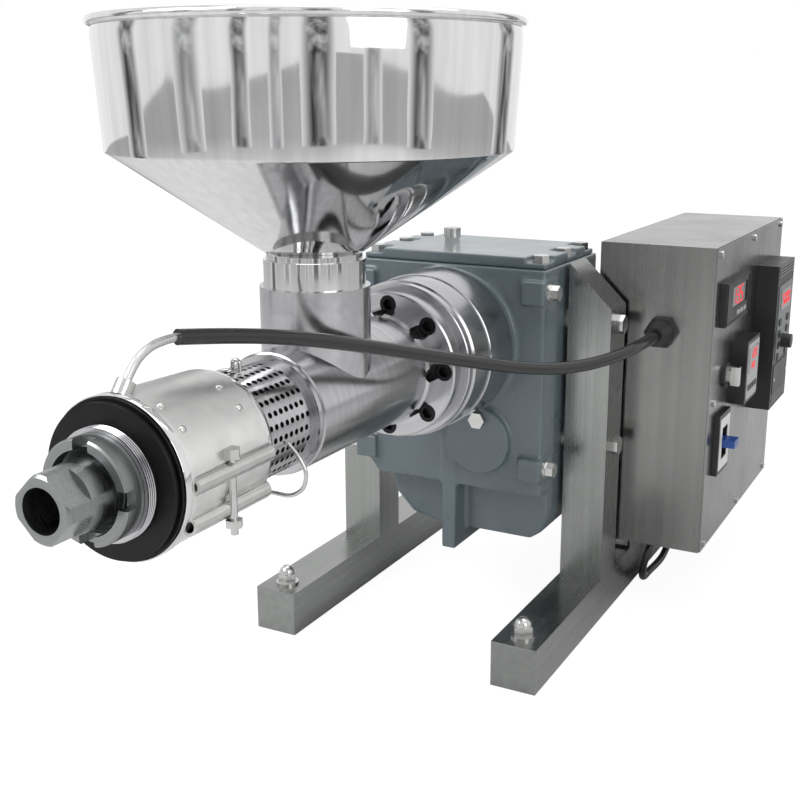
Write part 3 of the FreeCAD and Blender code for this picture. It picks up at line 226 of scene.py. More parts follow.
@dataclass(frozen=True)
class Metal:
    """A bare metal surface with its working marks and smudges."""

    name: str
    colour: Colour
    roughness: float
    grain: Grain = Grain.EVEN
    marks: float = 0.00002
    spread: float = 0.08
    smudges: float = 0.06
    wave: float = 0.0

    def build(self) -> bpy.types.Material:
        """Returns the material."""
        graph = Graph(self.name)
        if self.grain is Grain.TURNED:
            fine = graph.noise(1.0, 4.0, 0.6, graph.stretched((1400.0, 1400.0, 1.0), graph.spun()))
            broad = graph.noise(1.0, 2.0, 0.5, graph.stretched((160.0, 160.0, 1.0), graph.spun()))
        else:
            fine = graph.noise(1.0, 4.0, 0.6, graph.stretched(self.grain.value))
            broad = graph.noise(1.0, 2.0, 0.5, graph.stretched(tuple(v * 0.12 for v in self.grain.value)))
        clouds = graph.noise(9.0, 4.0, 0.6)
        rough = graph.math("ADD", graph.between(fine, -self.spread, self.spread, 0.3, 0.7), self.roughness)
        rough = graph.math("ADD", rough, graph.between(clouds, -self.smudges, self.smudges, 0.3, 0.7))
        tone = graph.blend(graph.between(broad, 0.0, 1.0, 0.3, 0.7), scaled(self.colour, 0.86), self.colour)
        tone = graph.blend(graph.between(clouds, 0.0, 0.5, 0.5, 0.8), tone, scaled(self.colour, 0.8))
        normal = graph.bump(fine, self.marks)
        if self.wave:
            normal = graph.bump(graph.noise(11.0, 1.0, 0.4), self.wave, normal)
        graph.set(Base_Color=tone, Metallic=1.0, Roughness=rough, Normal=normal)
        return graph.material


@dataclass(frozen=True)
class Coat:
    """A painted, moulded or rubber surface with its fine texture and rubbed patches."""

    name: str
    colour: Colour
    roughness: float
    pits: float = 900.0
    depth: float = 0.00004
    mottle: float = 0.12
    lacquer: float = 0.0
    lumps: float = 0.0
    glow: float = 0.0

    def build(self) -> bpy.types.Material:
        """Returns the material."""
        graph = Graph(self.name)
        fine = graph.noise(self.pits, 3.0, 0.55)
        clouds = graph.noise(14.0, 4.0, 0.6)
        tone = graph.blend(
            graph.between(clouds, 0.0, 1.0, 0.3, 0.7),
            scaled(self.colour, 1 - self.mottle),
            scaled(self.colour, 1 + self.mottle),
        )
        rough = graph.math("ADD", graph.between(clouds, -0.07, 0.07, 0.3, 0.7), self.roughness)
        normal = graph.bump(fine, self.depth)
        if self.lumps:
            normal = graph.bump(graph.noise(160.0, 2.0, 0.5), self.lumps, normal)
        graph.set(Base_Color=tone, Roughness=rough, Normal=normal, Coat_Weight=self.lacquer)
        graph.set(Coat_Roughness=0.15, Emission_Color=shade(self.colour), Emission_Strength=self.glow)
        return graph.material


class Finishes:
    """Every finish of the press, each material made once."""

    STAND = Metal("stand_steel", (0.34, 0.35, 0.34), 0.25, Grain.ALONG_Y, 0.000008, 0.07)
    POST = Metal("post_steel", (0.34, 0.35, 0.34), 0.25, Grain.ALONG_Z, 0.000008, 0.07)
    SHEET = Metal("box_sheet_steel", (0.27, 0.27, 0.265), 0.26, Grain.ALONG_Z, 0.000006, 0.05)
    MIRROR = Metal("polished_steel", (0.74, 0.745, 0.74), 0.05, Grain.ALONG_Z, 0.000001, 0.01, 0.02, 0.0009)
    TURNED = Metal("turned_steel", (0.52, 0.52, 0.535), 0.19, Grain.TURNED, 0.000005, 0.05)
    DARK = Metal("dark_turned_steel", (0.3, 0.31, 0.31), 0.33, Grain.TURNED, 0.000012, 0.08)
    BAND = Metal("heater_sheet", (0.86, 0.86, 0.85), 0.33, Grain.EVEN, 0.000003, 0.04)
    ZINC = Metal("zinc_plate", (0.62, 0.62, 0.61), 0.2, Grain.EVEN, 0.000002, 0.04)
    BLACKED = Metal("blacked_steel", (0.03, 0.03, 0.032), 0.4, Grain.EVEN, 0.00002, 0.1)
    GEAR = Metal("gear_steel", (0.42, 0.41, 0.4), 0.28, Grain.EVEN, 0.00002, 0.1)
    ENAMEL = Coat("blue_grey_enamel", (0.108, 0.14, 0.157), 0.3, 500.0, 0.00005, 0.1, 0.45, 0.0003)
    MOTOR = Coat("motor_enamel", (0.09, 0.12, 0.15), 0.36, 600.0, 0.00008, 0.1, 0.3, 0.0003)
    RUBBER = Coat("hose_rubber", (0.006, 0.006, 0.007), 0.22, 1500.0, 0.00002, 0.2, 0.3)
    SEAL = Coat("seal_rubber", (0.02, 0.018, 0.016), 0.55)
    BLACK = Coat("black_plastic", (0.018, 0.018, 0.02), 0.38, 2200.0, 0.00003, 0.15)
    GREY = Coat("grey_plastic", (0.2, 0.21, 0.22), 0.4, 2200.0, 0.00003)
    WHITE = Coat("white_plastic", (0.75, 0.75, 0.73), 0.38, 2200.0, 0.00002, 0.05)
    BLUE = Coat("blue_plastic", (0.02, 0.08, 0.35), 0.35, 2200.0, 0.00002, 0.1)
    BRAID = Metal("braid_silver", (0.68, 0.68, 0.68), 0.3, Grain.EVEN, 0.00004, 0.12)
    CLEAR = Coat("display_window", (0.02, 0.006, 0.008), 0.12, 2200.0, 0.000002, 0.05, 0.8)
    PALE = Coat("pale_plastic", (0.42, 0.43, 0.44), 0.38, 2200.0, 0.00002, 0.05)
    RED = Coat("red_digits", (0.75, 0.008, 0.02), 0.4, glow=1.1)

    def __init__(self) -> None:
        """Starts with no material made."""
        self.made: dict[str, bpy.types.Material] = {}

    def get(self, finish: object) -> bpy.types.Material:
        """Returns the finish's material, made on first use."""
        if finish.name not in self.made:
            self.made[finish.name] = finish.build()
        return self.made[finish.name]

    def dress(self, thing: bpy.types.Object, finish: object) -> bpy.types.Object:
        """Gives all of an object one finish.

        Args:
            thing: a mesh or curve.
            finish: the finish.

        Returns:
            The same object.
        """
        thing.data.materials.clear()
        thing.data.materials.append(self.get(finish))
        return thing


class Axis(Enum):
    """Which way the axis of a turned piece runs."""

    UP = "up"
    AHEAD = "to the nozzle"


@dataclass(frozen=True)
class Block:
    """A rectangle in the panel's plane in millimetres: behind the uprights, above the floor, and its size."""

    y: float
    z: float
    wide: float
    high: float

    def outline(self, radius: float) -> list[tuple[float, float]]:
        """Returns its corners, each rounded in four steps.

        Args:
            radius: the corner radius.
        """
        corner = max(0.1, min(radius, self.wide / 2 - 0.05, self.high / 2 - 0.05))
        points = []
        for quarter, (a, b) in enumerate(((1, 1), (-1, 1), (-1, -1), (1, -1))):
            for k in range(5):
                angle = math.radians(90 * quarter + 22.5 * k)
                points.append((self.y + a * (self.wide / 2 - corner) + corner * math.cos(angle),
                               self.z + b * (self.high / 2 - corner) + corner * math.sin(angle)))
        return points


@dataclass
class Press:
    """What every sub-assembly needs: the frame and the finishes."""

    frame: dict
    finishes: Finishes = field(default_factory=Finishes)

    def dress_nodes(self, finish: object, *names: str) -> None:
        """Gives CAD nodes a finish."""
        for name in names:
            self.finishes.dress(self.frame["nodes"][name], finish)
            log.info("dressed %s", name)


    def add_mesh(
        self, name: str, verts: Sequence[Point], faces: Sequence[Sequence[int]], finish: object, body: str,
        smooth: bool = False,
    ) -> bpy.types.Object:
        """Makes a piece from points and faces and lets it ride a body.

        Args:
            name: the piece's name.
            verts: its points in metres.
            faces: its faces.
            finish: its finish.
            body: the body that carries it.
            smooth: whether its faces are shaded smooth below 40 degrees.

        Returns:
            The new object.
        """
        mesh = bpy.data.meshes.new(name)
        mesh.from_pydata(verts, [], faces)
        work = bmesh.new()
        work.from_mesh(mesh)
        bmesh.ops.recalc_face_normals(work, faces=work.faces)
        work.to_mesh(mesh)
        work.free()
        if smooth:
            mesh.shade_smooth()
            mesh.set_sharp_from_angle(angle=math.radians(40))
        thing = bpy.data.objects.new(name, mesh)
        bpy.context.scene.collection.objects.link(thing)
        self.finishes.dress(thing, finish)
        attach(thing, body)
        log.info("piece %s, %d faces", name, len(faces))
        return thing

    def lathe(
        self, name: str, profile: Sequence[tuple[float, float]], centre: Point, axis: Axis, finish: object,
        body: str = "machine", steps: int = 144,
    ) -> bpy.types.Object:
        """Turns a closed outline about an axis.

        Args:
            name: the piece's name.
            profile: (radius, along) corners in millimetres.
            centre: the axis point in metres where along is 0.
            axis: which way the axis runs.
            finish: its finish.
            body: the body that carries it.
            steps: how many sides it has.

        Returns:
            The new object.
        """
        verts, count = [], len(profile)
        for step in range(steps):
            angle = 2 * math.pi * step / steps
            for radius, along in profile:
                x, y = radius * MM * math.cos(angle), radius * MM * math.sin(angle)
                move = (x, y, along * MM) if axis is Axis.UP else (x, -along * MM, y)
                verts.append(tuple(a + b for a, b in zip(centre, move)))
        faces = []
        for step in range(steps):
            here, there = step * count, (step + 1) % steps * count
            for i in range(count):
                after = (i + 1) % count
                faces.append((here + i, here + after, there + after, there + i))
        return self.add_mesh(name, verts, faces, finish, body, smooth=True)

    def panel_blocks(
        self, name: str, blocks: Sequence[Block], proud: tuple[float, float], finish: object,
        radius: float = 0.0,
    ) -> bpy.types.Object:
        """Makes flat blocks that stand on the control panel.

        Args:
            name: the piece's name.
            blocks: their places and sizes in the panel's plane.
            proud: where they start and end out from the panel, in millimetres.
            finish: their finish.
            radius: corner radius in millimetres.

        Returns:
            The new object.
        """
        verts, faces = [], []
        near, far = (PRESS_X + (PANEL_OUT + out) * MM for out in proud)
        for block in blocks:
            outline = block.outline(radius)
            first, count = len(verts), len(outline)
            for x in (near, far):
                verts += [(x, POST_Y + y * MM, z * MM) for y, z in outline]
            faces += [tuple(range(first, first + count)), tuple(range(first + count, first + 2 * count))]
            for i in range(count):
                after = (i + 1) % count
                faces.append((first + i, first + after, first + count + after, first + count + i))
        return self.add_mesh(name, verts, faces, finish, "machine")

    def digits(
        self, name: str, text: str, at: tuple[float, float], size: tuple[float, float], proud: float,
        finish: object,
    ) -> bpy.types.Object:
        """Lays seven-segment digits on a display.

        Args:
            name: the piece's name.
            text: the digits.
            at: left and middle height of the first one.
            size: a digit's width and height.
            proud: how far out from the panel they lie.
            finish: their finish.

        Returns:
            The new object.
        """
        wide, high = size
        bar = wide * DIGIT_STROKE
        lying, standing = (wide - bar, bar), (bar, high / 2 - bar)
        strokes = {
            "a": (wide / 2, high / 2, lying), "g": (wide / 2, 0, lying), "d": (wide / 2, -high / 2, lying),
            "f": (0, high / 4, standing), "b": (wide, high / 4, standing),
            "e": (0, -high / 4, standing), "c": (wide, -high / 4, standing),
        }
        blocks = []
        for place, char in enumerate(text):
            left = at[0] + place * wide * DIGIT_PITCH
            for key in DIGIT_SHAPES[char]:
                across, up, bar_size = strokes[key]
                blocks.append(Block(left + across, at[1] + up, *bar_size))
        return self.panel_blocks(name, blocks, (proud, proud + DIGIT_THICK), finish)

    def rounded(self, width: float, *names: str) -> None:
        """Rounds the edges of sheet and moulded nodes.

        Args:
            width: the radius in millimetres.
            names: the nodes.
        """
        for name in names:
            bevel = self.frame["nodes"][name].modifiers.new("edge", "BEVEL")
            bevel.width, bevel.segments = width * MM, 3
            bevel.limit_method, bevel.angle_limit = "ANGLE", math.radians(50)
            bevel.harden_normals = True

    def cast(self, voxel: float, passes: int, *names: str) -> None:
        """Softens castings so that their corners round over.

        Args:
            voxel: the size of the grid in millimetres.
            passes: how often it is smoothed.
            names: the nodes.
        """
        for name in names:
            thing = self.frame["nodes"][name]
            remesh = thing.modifiers.new("cast_skin", "REMESH")
            remesh.mode, remesh.voxel_size, remesh.use_smooth_shade = "VOXEL", voxel * MM, True
            smooth = thing.modifiers.new("cast_corners", "SMOOTH")
            smooth.factor, smooth.iterations = 0.5, passes


# ---------------------------------------------------------------- stand, gearbox, motor and barrel
@dataclass
class Stand:
    """The square-tube stand with its cap nuts."""

    tube_corner: float = 2.2

    def build(self, press: Press) -> None:
        """Dresses the tubes and rounds their corners."""
        press.dress_nodes(Finishes.STAND, "left_rail", "right_rail")
        press.dress_nodes(Finishes.POST, "left_upright", "right_upright")
        press.dress_nodes(Finishes.ZINC, "acorn_nuts", "foot_studs")
        press.rounded(self.tube_corner, "left_rail", "right_rail", "left_upright", "right_upright")


@dataclass
class Gearbox:
    """The cast housing, its cover and fittings, and the gear train inside."""

    cast_grid: float = 2.0
    cast_passes: int = 8

    def build(self, press: Press) -> None:
        """Dresses the castings, fittings and gears."""
        press.dress_nodes(Finishes.ENAMEL, "gearbox_housing", "gearbox_cover", "bearing_cap")
        press.dress_nodes(Finishes.ZINC, "gearbox_bolts", "cover_bolts", "oil_plugs")
        press.dress_nodes(Finishes.GEAR, "output_gear", "lay_gear", "lay_pinion", "motor_pinion", "motor_shaft")
        press.dress_nodes(Finishes.GEAR, "gearbox_bearings")
        press.dress_nodes(Finishes.SEAL, "oil_seals")
        press.cast(self.cast_grid, self.cast_passes, "gearbox_housing", "gearbox_cover")


@dataclass
class Motor:
    """The finned motor behind the gearbox."""

    def build(self, press: Press) -> None:
        """Dresses the motor."""
        press.dress_nodes(Finishes.MOTOR, "motor_frame", "motor_terminal_box", "fan_cowl")
        press.dress_nodes(Finishes.BLACK, "motor_fan")


@dataclass
class Barrel:
    """The turned rings, the barrel and the drilled oil cage, along the press axis in millimetres."""

    cage_radius: float = 48.0
    rows_round: int = 14
    hole_rows: tuple[tuple[float, int, float], ...] = ((0.0, 8, 418.0), (180 / 14, 7, 421.8))
    hole_pitch: float = 7.6
    # the painted-shade ring round each oil hole: inner and outer radius, lift off the cage and sides
    mouth: tuple[float, float] = (1.85, 2.6)
    mouth_lift: tuple[float, float] = (0.03, 0.06)
    mouth_sides: int = 16

    def build(self, press: Press) -> None:
        """Dresses the turned pieces and lays painted shade in the mouths of the oil holes."""
        press.dress_nodes(Finishes.TURNED, "thrust_housing", "adapter_ring", "feed_barrel", "barrel_end_ring")
        press.dress_nodes(Finishes.TURNED, "press_head", "oil_cage", "press_screw")
        press.dress_nodes(Finishes.BLACKED, "flange_bolts", "head_ring")
        press.dress_nodes(Finishes.DARK, "lock_nut", "nozzle")
        press.dress_nodes(Finishes.ZINC, "drip_loop")
        self.paint_hole_shade(press)

    def painted_shade_ring(self, angle: float, along: float, size: float, lift: float) -> list[Point]:
        """Returns a ring of points that hugs the cage.

        Args:
            angle: where it sits round the cage, in radians.
            along: where it sits along the axis.
            size: its radius.
            lift: how far it stands off the cage.
        """
        points = []
        out = (self.cage_radius + lift) * MM
        for k in range(self.mouth_sides):
            turn = 2 * math.pi * k / self.mouth_sides
            around = angle + size * math.cos(turn) / self.cage_radius
            points.append((AXIS[0] + out * math.cos(around), AXIS[1] - (along + size * math.sin(turn)) * MM,
                           AXIS[2] + out * math.sin(around)))
        return points

    def paint_hole_shade(self, press: Press) -> None:
        """Lays a dark ring of painted shade in the countersunk mouth of every oil hole."""
        verts, faces, sides = [], [], self.mouth_sides
        for offset, count, lead in self.hole_rows:
            for row in range(self.rows_round):
                angle = math.radians(90 + offset + row * 360 / self.rows_round)
                for place in range(count):
                    first = len(verts)
                    for size, lift in zip(self.mouth, self.mouth_lift):
                        verts += self.painted_shade_ring(angle, lead + place * self.hole_pitch, size, lift)
                    for k in range(sides):
                        after = (k + 1) % sides
                        faces.append((first + k, first + after, first + sides + after, first + sides + k))
        # painted shade: a dark blacked-steel ring on the cage stands in for the shade inside each countersunk
        # hole mouth
        press.add_mesh("oil_hole_painted_shade", verts, faces, Finishes.BLACKED, "machine")


@dataclass
class HotEnd:
    """The heater band, its strap, lip and rivets, and the thread of the snout, in millimetres."""

    lip: tuple[float, float] = (593.0, 600.0)
    lip_radii: tuple[float, float] = (62.2, 63.6)
    strap: tuple[float, float] = (484.0, 492.0)
    strap_radii: tuple[float, float] = (53.0, 57.0)
    thread_start: float = 608.3
    thread_turns: int = 4
    thread_pitch: float = 2.0
    thread_radii: tuple[float, float, float] = (41.0, 42.6, 43.6)
    rivets: tuple[tuple[float, float], ...] = ((40.0, 512.0), (62.0, 512.0), (40.0, 582.0), (62.0, 582.0))
    rivet_profile: tuple[tuple[float, float], ...] = (
        (0.01, 1.5), (1.6, 1.2), (2.8, 0.3), (3.0, -0.8), (0.01, -0.8),
    )
    rivet_sides: int = 20

    def build(self, press: Press) -> None:
        """Dresses the band, turns the lip, strap and thread, and sets the rivets."""
        press.dress_nodes(Finishes.BAND, "heater_band")
        press.dress_nodes(Finishes.ZINC, "clamp_lugs", "clamp_bolt", "heater_terminal")
        self.turn_lip(press)
        self.turn_strap(press)
        self.turn_thread(press)
        for number, (angle, along) in enumerate(self.rivets, start=1):
            self.set_rivet(press, "band_rivet_%d" % number, math.radians(angle), along)

    def turn_lip(self, press: Press) -> None:
        """Turns the bright lip round the black ring."""
        (back, front), (inner, outer) = self.lip, self.lip_radii
        profile = [(inner, back), (outer - 0.1, back), (outer, front - 0.6), (outer - 0.4, front),
                   (inner + 0.4, front), (inner, front - 0.6)]
        press.lathe("band_lip", profile, AXIS, Axis.AHEAD, Finishes.MIRROR)

    def turn_strap(self, press: Press) -> None:
        """Turns the polished strap behind the band."""
        (low, high), (inner, outer) = self.strap, self.strap_radii
        profile = [(inner, low), (outer - 0.4, low), (outer, low + 0.6), (outer, high - 0.6),
                   (outer - 0.4, high), (inner, high)]
        press.lathe("rear_strap", profile, AXIS, Axis.AHEAD, Finishes.MIRROR)

    def turn_thread(self, press: Press) -> None:
        """Turns the ridges of the thread on the snout."""
        core, valley, crest = self.thread_radii
        outline = [(core, self.thread_start)]
        for turn in range(self.thread_turns):
            start = self.thread_start + turn * self.thread_pitch
            outline += [(valley, start), (crest, start + self.thread_pitch / 2)]
        end = self.thread_start + self.thread_turns * self.thread_pitch
        outline += [(valley, end), (core, end)]
        press.lathe("snout_thread", outline, AXIS, Axis.AHEAD, Finishes.TURNED)

    def set_rivet(self, press: Press, name: str, angle: float, along: float) -> None:
        """Sets a domed rivet on the band.

        Args:
            press: the frame and finishes.
            name: the rivet's name.
            angle: where it sits round the band, in radians.
            along: where it sits along the axis.
        """
        radius = 60.4 + (along - 493) * 0.03
        out = Vector((math.cos(angle), 0, math.sin(angle)))
        base = Vector(AXIS) + out * radius * MM + Vector((0, -along * MM, 0))
        side = out.cross(Vector((0, 1, 0)))
        verts, faces, count = [], [], len(self.rivet_profile)
        for step in range(self.rivet_sides):
            turn = 2 * math.pi * step / self.rivet_sides
            around = Vector((0, 1, 0)) * math.cos(turn) + side * math.sin(turn)
            verts += [tuple(base + around * r * MM + out * h * MM) for r, h in self.rivet_profile]
        for step in range(self.rivet_sides):
            here, there = step * count, (step + 1) % self.rivet_sides * count
            faces += [(here + i, here + i + 1, there + i + 1, there + i) for i in range(count - 1)]
        press.add_mesh(name, verts, faces, Finishes.ZINC, "machine", smooth=True)


@dataclass
class Hopper:
    """The spun bowl with its rolled rim, in millimetres above the floor."""

    centre: Point = (PRESS_X, POST_Y - 329 * MM, 0.0)
    neck: tuple[float, float] = (43.0, 456.3)
    knee: tuple[float, float] = (177.0, 551.0)
    rim: tuple[float, float] = (184.0, 657.0)
    wall_height: float = 95.0
    wall_inset: float = 1.2
    sheet: float = 1.6
    bead: float = 3.6
    bead_inset: float = 0.8
    sides: int = 192

    def profile(self) -> list[tuple[float, float]]:
        """Returns the outline of the sheet, up the outside, over the rolled bead and down the inside."""
        neck_radius, neck_height = self.neck
        rim_radius, rim_height = self.rim
        knee_radius, knee_height = self.knee
        outside = [(neck_radius, neck_height), (neck_radius, 461), (knee_radius - 2, knee_height - 1),
                   (knee_radius, knee_height), (knee_radius + 0.3, knee_height + 2)]
        flare = rim_radius - self.wall_inset - knee_radius
        wall = [(knee_radius + flare * share, knee_height + self.wall_height * share)
                for share in (0.2, 0.4, 0.6, 0.8, 1.0)]
        bead = [(rim_radius - self.bead_inset + self.bead * math.cos(math.radians(angle)),
                 rim_height + self.bead * math.sin(math.radians(angle))) for angle in range(-120, 181, 25)]
        inside = [(rim_radius - self.wall_inset - self.sheet - 1, rim_height - 8),
                  (knee_radius - self.sheet, knee_height + 1), (knee_radius - self.sheet - 3, knee_height - 2),
                  (neck_radius - self.sheet, 462), (neck_radius - self.sheet, neck_height)]
        return outside + wall + bead + inside

    def build(self, press: Press) -> None:
        """Spins the bowl and dresses the collar."""
        press.dress_nodes(Finishes.MIRROR, "hopper_bowl", "hopper_collar")
        outline = self.profile()
        bowl = press.lathe("spun_bowl", outline, self.centre, Axis.UP, Finishes.MIRROR, "hopper", self.sides)
        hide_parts("hopper_bowl")


# ---------------------------------------------------------------- control box
@dataclass
class ControlBox:
    """The sheet box with its brackets, glands and screws."""

    sheet_corner: float = 2.2

    def build(self, press: Press) -> None:
        """Dresses the box and rounds its edges."""
        press.dress_nodes(Finishes.SHEET, "control_box", "control_panel", "box_brackets")
        press.dress_nodes(Finishes.ZINC, "panel_screws")
        press.dress_nodes(Finishes.BLACK, "cable_glands")
        press.rounded(self.sheet_corner, "control_box")


@dataclass
class Instruments:
    """The instruments on the control panel: each one's centre and how far it stands out, in millimetres."""

    meter: tuple[float, float, float] = (137.0, 368.0, 7.0)
    controller: tuple[float, float, float] = (188.0, 276.0, 18.0)
    breaker: tuple[float, float, float] = (116.0, 202.0, 6.0)
    drive: tuple[float, float, float] = (322.0, 296.0, 26.0)
    moulded_corner: float = 2.5

    def build(self, press: Press) -> None:
        """Dresses the housings and fits every face."""
        press.dress_nodes(Finishes.BLACK, "panel_meter", "temperature_controller", "selector_base")
        press.dress_nodes(Finishes.BLACK, "drive_body", "speed_dial", "breaker_body")
        press.dress_nodes(Finishes.PALE, "meter_key_1", "meter_key_2", "meter_key_3")
        press.dress_nodes(Finishes.ZINC, "selector_knob")
        press.dress_nodes(Finishes.BLUE, "breaker_toggle")
        press.rounded(self.moulded_corner, "drive_body", "temperature_controller", "breaker_body")
        press.rounded(self.moulded_corner, "breaker_toggle", "speed_dial")
        self.meter_face(press)
        self.controller_face(press)
        self.breaker_face(press)
        self.drive_face(press)

    def meter_face(self, press: Press) -> None:
        """Fits the meter's window, digits and frame."""
        y, z, out = self.meter
        press.panel_blocks("meter_window", [Block(y + 10, z + 4, 72, 24)], (out - 2, out - 1.2), Finishes.CLEAR)
        press.digits("meter_digits", "135", (y - 18, z + 4), (11, 18), out - 1.15, Finishes.RED)
        frame = [Block(y, z + 23, 106, 1.6), Block(y, z - 23, 106, 1.6), Block(y - 52, z, 1.6, 46),
                 Block(y + 52, z, 1.6, 46)]
        press.panel_blocks("meter_frame", frame, (out, out + 0.8), Finishes.BLACK, 0.8)

    def controller_face(self, press: Press) -> None:
        """Fits the temperature controller's plate, window, digits and keys."""
        y, z, out = self.controller
        plate, window = out + 0.9, out + 1.3
        press.panel_blocks("controller_face", [Block(y, z, 57, 68)], (out, plate), Finishes.PALE, 3.0)
        glass = [Block(y, z + 13, 46, 30)]
        press.panel_blocks("controller_window", glass, (plate, window), Finishes.CLEAR, 1.5)
        press.digits("controller_digits", "120", (y - 14, z + 19), (7, 10), window + 0.05, Finishes.RED)
        press.digits("controller_set_digits", "150", (y - 14, z + 5), (5, 7), window + 0.05, Finishes.RED)
        keys = [Block(y + across, z - 20, 8.5, 7) for across in (-18, -6, 6, 18)]
        press.panel_blocks("controller_keys", keys, (plate, out + 1.8), Finishes.BLACK, 2.5)

    def breaker_face(self, press: Press) -> None:
        """Fits the white plate round the breaker's toggle."""
        y, z, out = self.breaker
        plate = [Block(y - 17.5, z, 9, 62), Block(y + 17.5, z, 9, 62), Block(y, z + 25, 26, 12),
                 Block(y, z - 25, 26, 12)]
        press.panel_blocks("breaker_plate", plate, (out, out + 0.8), Finishes.WHITE, 0.6)

    def drive_face(self, press: Press) -> None:
        """Fits the frequency drive's panel, display, keys, vents and hatch."""
        y, z, out = self.drive
        plate, display = out + 1.0, out + 1.5
        press.panel_blocks("drive_panel", [Block(y, z + 18, 78, 96)], (out, plate), Finishes.GREY, 4.0)
        glass = [Block(y + 2, z + 46, 60, 26)]
        press.panel_blocks("drive_display", glass, (plate, display), Finishes.CLEAR, 2.0)
        press.digits("drive_digits", "5000", (y - 19, z + 46), (8, 13), display + 0.05, Finishes.RED)
        keys = [Block(y + across, z + 18 - 15 * row, 12, 9) for across in (22, -26) for row in range(4)]
        press.panel_blocks("drive_keys", keys, (plate, out + 2.4), Finishes.BLACK, 2.5)
        vents = [Block(y, z + 78 + 4 * row, 84, 1.6) for row in range(4)]
        vents += [Block(y, z - 84 + 4 * row, 84, 1.6) for row in range(3)]
        press.panel_blocks("drive_vents", vents, (out, out + 0.7), Finishes.GREY, 0.7)
        press.panel_blocks("drive_hatch", [Block(y, z - 55, 84, 38)], (out, out + 0.8), Finishes.BLACK, 3.0)
        screws = [Block(y - 38, z - 55, 5, 5), Block(y + 38, z - 55, 5, 5)]
        press.panel_blocks("drive_screws", screws, (out + 0.8, out + 1.6), Finishes.ZINC, 2.4)


# ---------------------------------------------------------------- cords
@dataclass(frozen=True)
class Cord:
    """A cable's route under its exit, in millimetres from the floor below the press axis."""

    name: str
    node: str
    route: tuple[Point, ...]
    radius: float
    length: float
    finish: object
    stiffness: str
    lay: str

    def points(self) -> list[Vector]:
        """Returns the route in metres."""
        origin = Vector((PRESS_X, POST_Y, 0))
        return [origin + Vector(place) * MM for place in self.route]

    def build(self, press: Press, companions: Sequence[bpy.types.Object] = ()) -> bpy.types.Object:
        """Args:
            press: the frame and finishes.
            companions: not used.

        Returns:
            The curve.
        """
        points = self.points()
        curve = bpy.data.curves.new(self.name, "CURVE")
        curve.dimensions = "3D"
        spline = curve.splines.new("NURBS")
        spline.points.add(len(points) - 1)
        for knot, place in zip(spline.points, points):
            knot.co = (*place, 1.0)
        spline.order_u = 3
        spline.use_endpoint_u = True
        spline.resolution_u = 12
        curve.bevel_depth = self.radius * MM
        curve.bevel_resolution = 6
        curve.use_fill_caps = True
        thing = bpy.data.objects.new(self.name, curve)
        bpy.context.scene.collection.objects.link(thing)
        press.finishes.dress(thing, self.finish)
        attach(thing, "machine")
        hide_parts(self.node)
        log.info("cord %s, %.0f mm", self.name, self.length)
        return thing


HEATER_HOSE = Cord(
    "heater_hose", "heater_cable",
    ((212.5, 29, 337.5), (211, -8, 336), (194, -53, 328), (168, -106, 325), (139, -166, 334),
     (112, -229, 351), (84, -296, 370), (58, -363, 389), (34, -428, 405), (14, -485, 415), (1, -526, 420)),
    6.4, 607, Finishes.RUBBER, "medium", "taut",
)
HEATER_BRAID = Cord(
    "heater_braid", "cable_braid",
    ((1, -526, 420), (0.5, -544, 420.5), (0, -561, 417), (0, -575, 409.5), (0, -584, 398)),
    3.5, 66, Finishes.BRAID, "medium", "loose",
)
MOTOR_LEAD = Cord(
    "motor_supply_lead", "motor_lead",
    ((212, 188, 70.4), (211, 169, 70.4), (207, 149.5, 70.9), (200.5, 131, 70.4), (196, 113.8, 57.9),
     (191.5, 107.3, 37.8), (187.5, 113.8, 17.7), (184.5, 131, 5.6), (184, 155, 4.9), (186, 179, 5.2),
     (188, 203, 7.5), (188.5, 226, 17), (186, 246.5, 34), (176, 263, 54), (155.5, 272, 66.5),
     (131, 270, 77), (107, 254, 90), (92, 232, 106), (81, 211, 119)),
    4.5, 433, Finishes.RUBBER, "limp", "loose",
)


